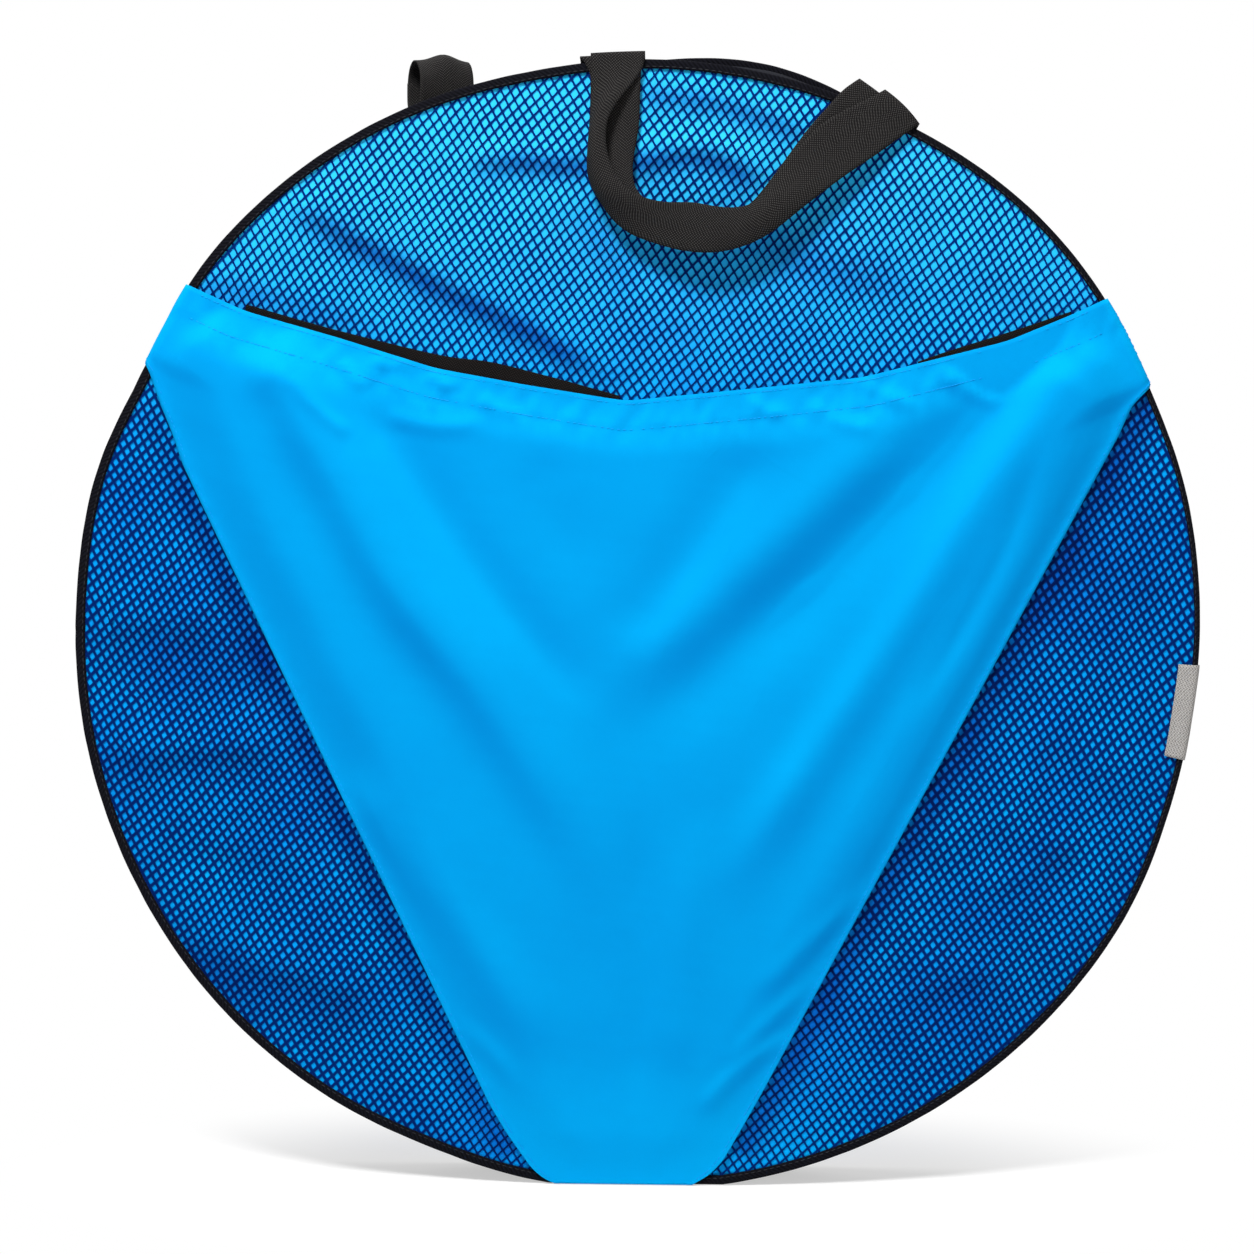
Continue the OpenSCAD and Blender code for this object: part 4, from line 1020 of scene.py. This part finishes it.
def flatDistance(flat):
    return np.concatenate([np.zeros((1, flat.shape[1])),
                           np.cumsum(np.linalg.norm(np.diff(flat, axis=0), axis=2), axis=0)])


def buildPocket():
    rows, cols = pocket["grid"]
    mouth, left, right = (np.array(pocket[k], float) * mm for k in ("mouth", "left", "right"))
    left, right = np.concatenate([mouth[:1], left]), np.concatenate([mouth[-1:], right])
    for edge in (mouth, left, right):          # what lies on the rim goes on behind it
        far = np.hypot(edge[:, 0], edge[:, 1] - bagCentre)
        share = np.where((far > 0.4745) & (edge[:, 1] > 0.3), pocket["behind"] * mm / far, 1)
        edge[:, 0] *= share
        edge[:, 1] = bagCentre + (edge[:, 1] - bagCentre) * share
    top = evenly(blurred(evenly(mouth, 900), 9), cols)
    leftEdge = evenly(blurred(evenly(left, 1000), 5), rows)[::-1]
    rightEdge = evenly(blurred(evenly(right, 1000), 5), rows)[::-1]
    bottom = evenly(np.stack([leftEdge[0], rightEdge[0]]), cols)
    flat = patchBetween(bottom, top, leftEdge, rightEdge)
    x, z = flat[..., 0], flat[..., 1]
    fromTop = flatDistance(flat[::-1])[::-1]
    fromLeft = flatDistance(flat.transpose(1, 0, 2)).T
    fromRight = flatDistance(flat[:, ::-1].transpose(1, 0, 2)).T[:, ::-1]
    fromSide = np.minimum(fromLeft, fromRight)
    inner = ease(fromSide / 0.07) * ease(fromTop / 0.05) * ease(z / 0.05)
    far = np.hypot(x, z - bagCentre)
    calm = ease((0.474 - far) / 0.035) * ease((z - 0.008) / 0.05)
    relief = ridges(x, z, pocket["folds"]) * (0.35 + 0.65 * ease(fromSide / 0.03))
    relief += 0.5 * mm * ripple(x, z, 61, 0.11) + 0.07 * mm * ripple(x, z, 62, 0.035) * (0.3 + 0.7 * inner)
    hemStep = ease((pocket["hem"] * mm + 0.001 - fromTop) / 0.0015)
    hemStep = hemStep + 0.8 * ease((pocket["sideHem"] * mm + 0.0006 - fromSide) / 0.0012)
    nearHem = np.exp(-((fromTop - pocket["hem"] * mm) / 0.012) ** 2)
    nearSide = np.exp(-((fromSide - pocket["sideHem"] * mm) / 0.006) ** 2)
    pucker = 1.3 * nearHem * ripple(x, 0.35 * fromTop, 63, 0.024)
    pucker += 0.35 * nearSide * ripple(z, 0.3 * fromSide, 64, 0.020)
    pucker += 1.3 * np.exp(-((fromTop - 0.012) / 0.016) ** 2) * ripple(x + 0.6 * fromTop, 0.2 * fromTop, 65, 0.045)
    lift = pocket["lift"] * mm + pocket["belly"] * mm * inner + calm * relief
    lift = lift + 0.45 * mm * np.minimum(hemStep, 1.3) + pucker * mm
    level = -(meshFace + 0.0005 + np.maximum(lift, 0.0024 + 0.9 * frontRelief(x, z)))
    grid = rimTurn(x, z, level, pocket)
    slope = gridNormals(grid)[..., 2] * ease(z / 0.15)       # painted light and shade: cloth that faces up gets a lighter tone and cloth that faces down a deeper one; near the foot the tone is lighter and does not follow the folds
    shade = np.clip(0.5 - 0.4 * (1 - ease(z / 0.15)) - pocket["shade"] * slope, 0, 1)
    made = addCloth("pocket_cloth", grid, pocket["thickness"] * mm, "cover", materials["pocketCloth"], shade=shade)
    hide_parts("pocket")
    out = gridNormals(grid)
    lines = []
    for where in (pocket["hem"], pocket["mouthSeam"]):
        place = atDistance(grid[::-1], fromTop[::-1], where * mm)
        facing = atDistance(out[::-1], fromTop[::-1], where * mm)
        lines.append((place[6:-6], facing[6:-6]))
    for g, n, d in ((grid, out, fromLeft), (grid[:, ::-1], out[:, ::-1], fromRight[:, ::-1])):
        place = atDistance(g.transpose(1, 0, 2), d.T, pocket["sideHem"] * mm)
        facing = atDistance(n.transpose(1, 0, 2), d.T, pocket["sideHem"] * mm)
        lines.append((place[2:-3], facing[2:-3]))
    sewn = joined([stitches(p + n * (pocket["thickness"] / 2 + 0.12) * mm, n, pocket["seam"]) for p, n in lines])
    seam = addMesh("pocket_stitching", sewn[0], sewn[1], "cover", materials["pocketThread"])


buildPocket()


closure = dict(
    width=19.0, thickness=1.0,
    left=[(-328, 751.5), (-280, 737.5), (-233, 725), (-163, 708.5), (-122, 703), (-77, 692), (-40, 682),
          (-12.8, 674.5)],
    right=[(236, 703), (262, 712), (310, 727), (363, 744.5)],
)


def buildClosure():
    # the woven strip behind the pocket's mouth: a ribbon that hangs from its upper edge
    grids = []
    for part, count in ((closure["left"], 150), (closure["right"], 70)):
        part = curveThrough(np.array(part) * mm, count)
        step = unit(np.gradient(part, axis=0))
        down = np.stack([step[:, 1], -step[:, 0]], axis=1)
        t = np.linspace(0, 1, 10)[None, :, None]
        flat = part[:, None] + down[:, None] * t * closure["width"] * mm
        x, z = flat[..., 0], flat[..., 1]
        y = -(meshFace + 0.0009 + frontRelief(x, z) + 0.25 * mm * ripple(x, z, 71, 0.05))
        grids.append(np.stack([x, y, z], axis=-1)[:, ::-1].transpose(1, 0, 2))
    points, faces, uv = joined([solidCloth(g, closure["thickness"] * mm) for g in grids])
    made = addMesh("pocket_closure_tape", points, faces, "cover", materials["closureTape"], uv)
    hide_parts("pocket_closure_strip")


buildClosure()


label = dict(angles=(-3.1, -12.9), thickness=0.8,
             path=[(463.6, -33.6), (468, -33.8), (471.5, -34.7), (475, -35.2), (478.3, -34.9), (480.2, -33.6),
                   (480.9, -31.8), (480.7, -29.8), (479.4, -28.4), (476.6, -28.0)])


def buildLabel():
    # a ribbon wrapped over the rim: (radius, y) along it, and angles round the bag across it
    path = evenly(curveThrough(label["path"], 80), 40) * mm
    angle = np.radians(np.linspace(label["angles"][0], label["angles"][1], 36))
    grid = around(angle[None], path[:, None, 0] + rimRadius(angle)[None] - bagRadius, path[:, None, 1])
    if gridNormals(grid)[0, 0, 1] > 0:
        grid = grid[:, ::-1]
    rise = 0.5 * mm * ripple(grid[..., 2], grid[..., 0], 81, 0.05)
    grid = grid + gridNormals(grid) * (0.2 * mm + 0.6 * np.abs(rise)[..., None])
    made = addCloth("side_label_cloth", grid, label["thickness"] * mm, "cover", materials["label"])
    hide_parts("side_label")


buildLabel()
print("pocket, closure strip and label built")


# ---- the handles: each is two layers of webbing

handle = dict(
    thickness=1.2, blendFrom=-6.0, blendTo=16.0,
    steps=230, across=15, blur=5,              # points along and across, and how many are blurred
    crown=6.0, bowFrom=0.046, bowShare=0.32,   # how far it bows where its edges come closer than bowFrom
    # both edges of the outer layer from its first end to its second, each as (x, y, z)
    outer=[((8.0, -36.8, 960.3), (-37.2, -36.8, 958.8)), ((8.0, -36.9, 950.3), (-37.2, -36.9, 947.2)),
           ((4.7, -37.8, 942.7), (-37.2, -37.2, 934.7)), ((-3.5, -40.9, 932.5), (-37.1, -37.8, 922.2)),
           ((-14.1, -45.6, 918.8), (-37.5, -38.8, 908.8)), ((-22.3, -49.6, 906.1), (-37.8, -40.6, 897.1)),
           ((-24.7, -51.9, 891.9), (-39.0, -42.6, 883.7)), ((-23.8, -53.0, 879.5), (-39.7, -44.2, 871.9)),
           ((-20.4, -54.2, 867.0), (-40.0, -45.0, 861.8)), ((-16.2, -55.4, 857.0), (-38.2, -45.6, 852.6)),
           ((-10.3, -56.6, 848.7), (-33.9, -46.2, 843.3)), ((-0.3, -57.6, 841.2), (-27.2, -46.4, 833.2)),
           ((11.4, -58.1, 837.0), (-17.9, -46.9, 819.0)), ((24.7, -58.4, 834.4), (-3.6, -49.6, 808.2)),
           ((38.0, -58.0, 834.4), (14.7, -53.2, 801.4)), ((50.5, -57.6, 834.4), (36.4, -57.2, 794.7)),
           ((64.6, -57.6, 831.0), (54.7, -59.0, 792.6)), ((79.5, -57.1, 829.4), (73.0, -58.6, 793.1)),
           ((94.5, -55.2, 831.1), (96.2, -57.6, 799.7)), ((101.9, -53.6, 836.9), (114.5, -56.4, 809.6)),
           ((109.4, -51.8, 846.1), (135.2, -54.3, 827.0)), ((120.1, -49.6, 861.1), (152.6, -51.2, 840.3)),
           ((135.0, -47.1, 879.4), (175.8, -47.6, 857.8)), ((154.1, -43.4, 900.2), (199.9, -43.6, 873.7)),
           ((180.7, -39.6, 914.5), (219.1, -39.2, 888.0)), ((198.0, -37.4, 922.5), (230.5, -37.3, 895.5)),
           ((207.4, -36.4, 927.9), (235.8, -36.6, 899.5))],
    inner=[((6.3, -35.3, 958.7), (-46.5, -35.3, 956.6)), ((5.6, -35.4, 954.0), (-42.0, -35.4, 951.5)),
           ((4.6, -35.5, 944.5), (-36.8, -35.5, 943.5)), ((3.8, -35.9, 924.7), (-37.2, -35.9, 922.4)),
           ((3.4, -36.2, 901.5), (-38.0, -36.4, 901.6)), ((1.0, -37.1, 886.5), (-38.8, -37.6, 886.6)),
           ((-1.4, -39.1, 873.0), (-38.7, -39.6, 872.3)), ((-2.6, -41.6, 863.7), (-37.7, -41.6, 859.6)),
           ((-0.7, -46.6, 846.8), (-30.8, -42.9, 840.3)), ((11.1, -50.6, 834.1), (-18.9, -43.6, 821.8)),
           ((24.6, -53.1, 831.4), (-2.1, -46.0, 810.8)), ((37.9, -54.1, 831.3), (17.1, -49.6, 804.1)),
           ((50.4, -54.1, 831.3), (37.1, -53.2, 797.4)), ((64.5, -53.6, 828.8), (56.3, -54.8, 795.7)),
           ((79.5, -53.1, 827.1), (74.6, -54.6, 795.7)), ((93.6, -51.4, 830.5), (94.6, -53.2, 802.4)),
           ((101.9, -49.8, 838.8), (112.8, -51.8, 812.3)), ((112.7, -47.8, 853.0), (131.9, -49.6, 828.9)),
           ((123.5, -45.6, 868.0), (152.7, -46.4, 844.8)), ((143.3, -42.1, 895.4), (175.9, -42.4, 864.8)),
           ((159.9, -38.6, 914.2), (194.2, -38.6, 881.5)), ((173.3, -36.3, 929.1), (208.4, -36.4, 896.5)),
           ((186.2, -35.2, 937.2), (220.8, -35.3, 910.7))],
    # how each layer goes on over the rim: (share of the way down to the rim, y)
    overRim=[(0.0, -34.6), (0.05, -32.6), (0.35, -30.4), (0.75, -28.2), (1.0, -26.6), (1.0, -25.4)],
)
hinges = {j["name"]: j for j in frame["joints"]}


def hingeFrame(name):
    # where a handle's hinge is, and the downward direction along which its blend runs
    place, axis = np.array(hinges[name]["pos_m"]), unit(np.array(hinges[name]["axis"]))
    down = np.cross(axis, [0, 1, 0])
    return place, unit(down * -np.sign(down[2]))


def respaced(a, b):
    # two edges at even steps of their middle line's length
    run = lengthAlong((a + b) / 2)
    at = np.linspace(0, run[-1], handle["steps"])
    return [np.stack([np.interp(at, run, e[:, k]) for k in range(3)], axis=1) for e in (a, b)]


def ribbonEdges(stations):
    # both edges at even steps, then smoothed together
    s = np.array(stations, float) * mm
    return [blurred(e, handle["blur"]) for e in respaced(s[:, 0], s[:, 1])]


def ribbonGrid(edges):
    # straight across between the edges, bowed outwards where they come closer than the webbing's width
    a, b = edges
    t = np.linspace(0, 1, handle["across"])[None, :, None]
    grid = a[:, None] * (1 - t) + b[:, None] * t
    near = np.linalg.norm(a - b, axis=1)
    bow = np.minimum(handle["crown"] * mm, handle["bowShare"] * np.maximum(handle["bowFrom"] - near, 0))
    n = gridNormals(grid)
    return grid + n * (bow[:, None] * (4 * t[..., 0] * (1 - t[..., 0])))[..., None]


def overTheRim(point, side):
    # an end goes on over the rim and down behind it: its radius shrinks from where it is to just inside the rim's edge
    x, z = point[0], point[2] - bagCentre
    angle, far = math.atan2(z, x), math.hypot(x, z)
    rows = [around(angle, far + 0.0008 * math.sin(math.pi * min(t * 2.2, 1)) - t * (far - 0.4772), y * mm)
            for t, y in handle["overRim"]]
    return np.array(rows) * [1, side, 1]


def buildFrontHandle():
    for name, lower in (("outer", 0.0), ("inner", 0.0011)):
        a, b = ribbonEdges(handle[name])
        ends = [np.stack([overTheRim(e[k], 1) for e in (a, b)], axis=0) for k in (0, -1)]
        for e in ends:
            e[..., 1] += lower * 0.8
            r = np.hypot(e[..., 0], e[..., 2] - bagCentre)
            e[..., 0] *= (r - lower) / r
            e[..., 2] = bagCentre + (e[..., 2] - bagCentre) * (r - lower) / r
        a = np.concatenate([ends[0][0][::-1], a, ends[1][0]])
        b = np.concatenate([ends[0][1][::-1], b, ends[1][1]])
        grid = ribbonGrid([blurred(a, 1), blurred(b, 1)])
        if gridNormals(grid)[120, 7, 1] > 0:
            grid = grid[:, ::-1]
        made = addCloth("front_handle_%s_layer" % name, grid, handle["thickness"] * mm, None, materials["webbing"])
        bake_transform(made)
        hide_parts("front_handle", "front_handle_ends")


rearLoop = dict(middle=(-171.7, 48.0), turn=25.0, half=24.0, hump=6.0,
                # how its handle comes from the front one: degrees, points kept and blurred, and m
                tilt=5.55, keep=196, blur=4, slant=0.0193, slantOver=0.223,
                path=[(-13.0, 910), (-14.8, 924), (-16.4, 936), (-15.4, 948), (-9.8, 957.5), (0, 961.5),
                      (9.8, 957.5), (15.4, 948), (17.0, 936), (16.2, 922), (13.5, 908)])


def buildRearHandle():
    # the front handle's layers turned round to the back; their second end meets the loop that stands above the rim
    place, down = hingeFrame("rear_handle_swing")
    front = np.array(hinges["front_handle_swing"]["pos_m"])
    tilt = math.radians(rearLoop["tilt"])
    turn = math.radians(rearLoop["turn"])
    along = np.array([-math.cos(turn), -math.sin(turn), 0])
    away = np.array([-math.sin(turn), math.cos(turn), 0])
    middle = np.array([rearLoop["middle"][0] * mm, rearLoop["middle"][1] * mm, 0])
    for name, deeper in (("outer", 0.0), ("inner", 0.0013)):
        edges = []
        for e in ribbonEdges(handle[name]):
            local = e - front
            lx = local[:, 0] * math.cos(tilt) - local[:, 2] * math.sin(tilt)
            lz = local[:, 0] * math.sin(tilt) + local[:, 2] * math.cos(tilt)
            slant = rearLoop["slant"] * ease(lx / rearLoop["slantOver"])
            edges.append(np.stack([place[0] - lx, place[1] - local[:, 1] + slant, place[2] + lz], axis=1))
        a, b = (e[:rearLoop["keep"]] for e in edges)
        ends = []
        for z, off in ((0.918, 16.6), (0.931, 17.6), (0.944, 17.0)):
            spot = middle + away * (off * mm + 0.0013 - deeper) + [0, 0, z]
            ends.append((spot - along * rearLoop["half"] * mm, spot + along * rearLoop["half"] * mm))
        ends = np.array(ends)
        first = [overTheRim(np.array([e[0, 0], -e[0, 1], e[0, 2]]), -1)[::-1] for e in (a, b)]
        a = np.concatenate([first[0], a, ends[:, 0]])
        b = np.concatenate([first[1], b, ends[:, 1]])
        grid = ribbonGrid([blurred(edge, rearLoop["blur"]) for edge in respaced(a, b)])
        if gridNormals(grid)[110, 7, 1] < 0:
            grid = grid[:, ::-1]
        made = addCloth("rear_handle_%s_layer" % name, grid, handle["thickness"] * mm, None, materials["webbing"])
        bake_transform(made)
        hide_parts("rear_handle", "rear_handle_ends")
    path = evenly(curveThrough(rearLoop["path"], 120), 60) * mm
    t = np.linspace(-1, 1, 17)
    hump = rearLoop["hump"] * mm * np.exp(-((t + 0.1) / 0.55) ** 2)[None] * ease((path[:, 1:] - 0.936) / 0.022)
    grid = middle + away * path[:, :1, None] * (1 + 0.05 * t[None, :, None] ** 2)
    grid = grid + along * (t * rearLoop["half"] * mm)[None, :, None]
    grid[..., 2] = path[:, 1:] + hump
    if gridNormals(grid)[30, 8, 2] < 0:
        grid = grid[:, ::-1]
    made = addCloth("rear_handle_loop", grid, handle["thickness"] * mm, "tray", materials["webbing"])
    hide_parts("rear_handle_ends")


buildFrontHandle()
buildRearHandle()
print("handles built")


# ---- inside the bag: net, its border and the balls

netLow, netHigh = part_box("net_border")
netMiddle = ((netLow[0] + netHigh[0]) / 2, (netLow[1] + netHigh[1]) / 2, (netLow[2] + netHigh[2]) / 2)
net = dict(radius=(netHigh[0] - netLow[0]) / 2 * 1000, border=14.0, cord=2.2, pitch=22.5, steps=150, thickness=2.0,
           seam=dict(pitch=10.0, length=6.5, thread=0.9))


def buildNet():
    # cords both ways, each a sine over and under those that it crosses
    reach = (net["radius"] - net["border"] + 3) * mm
    pitch = net["pitch"] * mm
    count = int(reach / pitch - 0.3)
    place = (np.arange(-count, count + 1)) * pitch
    half = np.sqrt(reach ** 2 - place ** 2)
    run = half[:, None] * np.linspace(-1, 1, net["steps"])[None]
    over = np.where(np.arange(len(place)) % 2, 1, -1)[:, None]
    swing = net["cord"] / 2 * mm * 0.55 * np.cos(math.pi * run / pitch) * over
    places = np.repeat(place[:, None], net["steps"], 1)
    across = np.stack([run, swing, places], axis=-1)
    upright = np.stack([places, -swing, run], axis=-1)
    lines = np.concatenate([across, upright]) + netMiddle
    points, faces, uv = tubes(lines, net["cord"] * mm / 2, sides=5)
    made = addMesh("playing_net_cords", points, faces, "tray", materials["netCord"], uv)
    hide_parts("playing_net")


def buildNetBorder():
    # a flat band round the net with rounded edges, sewn along both
    angle = np.linspace(-math.pi, math.pi, 361)[:-1]
    middle = (net["radius"] - net["border"] / 2) * mm
    line = np.stack([middle * np.cos(angle), 0 * angle, middle * np.sin(angle)], axis=1) + netMiddle
    outward = np.stack([np.cos(angle), 0 * angle, np.sin(angle)], axis=1)
    turn = np.linspace(0, 2 * math.pi, 16, endpoint=False)
    out = net["border"] / 2 * mm * signedPower(np.cos(turn), 0.3)
    deep = net["thickness"] / 2 * mm * signedPower(np.sin(turn), 0.5)
    points, faces, uv = sweepRing(line, outward, np.stack([out, deep], axis=-1)[None] + np.zeros((360, 1, 1)))
    made = addMesh("net_border_webbing", points, faces, "tray", materials["netTape"], uv)
    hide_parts("net_border")
    seams = []
    for inset in (2.5, net["border"] - 2.5):
        for side in (-1, 1):
            r = (net["radius"] - inset) * mm
            sewn = np.stack([r * np.cos(angle), np.full(360, side * net["thickness"] / 2 * mm), r * np.sin(angle)],
                            axis=1) + netMiddle
            seams.append(stitches(sewn, np.zeros_like(sewn) + [0, side, 0], net["seam"]))
    points, faces, _ = joined(seams)
    addMesh("net_border_stitching", points, faces, "tray", materials["ballSeam"])


ball = dict(dimple=0.34, creases=5, roundness=0.75, flatness=0.72)


def buildBall(name, seed):
    # a ball let down flat: r = R cos^0.75, y = half |sin|^0.72, with a hollow pressed into both faces
    # and soft creases round it
    low, high = (np.array(v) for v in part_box(name))
    middle, size = (low + high) / 2, (high - low) / 2
    turn = np.linspace(0, 2 * math.pi, 120, endpoint=False)
    rise = np.linspace(-math.pi / 2, math.pi / 2, 66)[1:-1, None]
    out = np.cos(rise) ** ball["roundness"]
    thick = signedPower(np.sin(rise), ball["flatness"])
    hollow = 1 - ball["dimple"] * np.exp(-(out / 0.5) ** 2) * (1 + 0.25 * np.cos(2 * turn + seed))
    folded = 0.5 + 0.5 * np.cos(ball["creases"] * turn + seed + 3 * out)
    crease = 1 - 0.045 * np.exp(-((out - 0.62) / 0.2) ** 2) * folded
    x = size[0] * out * np.cos(turn) * (1 - 0.012 * np.cos(3 * turn + seed) ** 2)
    z = size[2] * out * np.sin(turn) * (1 - 0.012 * np.cos(2 * turn + seed) ** 2)
    y = size[1] * thick * hollow * crease
    points = np.stack([x, y, z], axis=-1)
    poles = np.array([[0, -size[1] * hollow[0].mean(), 0], [0, size[1] * hollow[-1].mean(), 0]])
    count = points.shape[0] * 120
    faces = gridFaces(64, 120, around=True)
    j = np.arange(120)
    n = (j + 1) % 120
    caps = np.concatenate([np.stack([n, j, np.full(120, count)], 1),
                           np.stack([63 * 120 + j, 63 * 120 + n, np.full(120, count + 1)], 1)])
    every = np.concatenate([points.reshape(-1, 3), poles]) + middle
    normal = np.cross(every[faces[:, 1]] - every[faces[:, 0]], every[faces[:, 2]] - every[faces[:, 0]])
    if ((every[faces[:, 0]] - middle) * normal).sum() < 0:
        faces, caps = faces[:, ::-1], caps[:, ::-1]
    made = addMesh(name + "_skin", every, [faces, caps], "tray", materials["ballSkin"])
    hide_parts(name)


buildNet()
buildNetBorder()
for number, name in enumerate(("ball_left", "ball_middle", "ball_right")):
    buildBall(name, 1.7 * number)

keptParts = {"rim_tube": "rimPaint", "leg_hub": "hubPlastic", "leg_foot": "legRubber", "leg_pins": "brightSteel",
             "leg_": "rimPaint", "snap_buttons": "brightSteel", "net_hooks": "hookPlastic",
             "pump_barrel": "pumpPlastic", "pump_nozzle": "pumpPlastic", "pump_plunger": "pumpKnob",
             "zip_": "zipMetal"}
for name, part in frame["nodes"].items():
    if not part.hide_render:
        finish = next(f for start, f in keptParts.items() if name.startswith(start))
        for place in part.material_slots:
            place.material = materials[finish]
print("inside built")
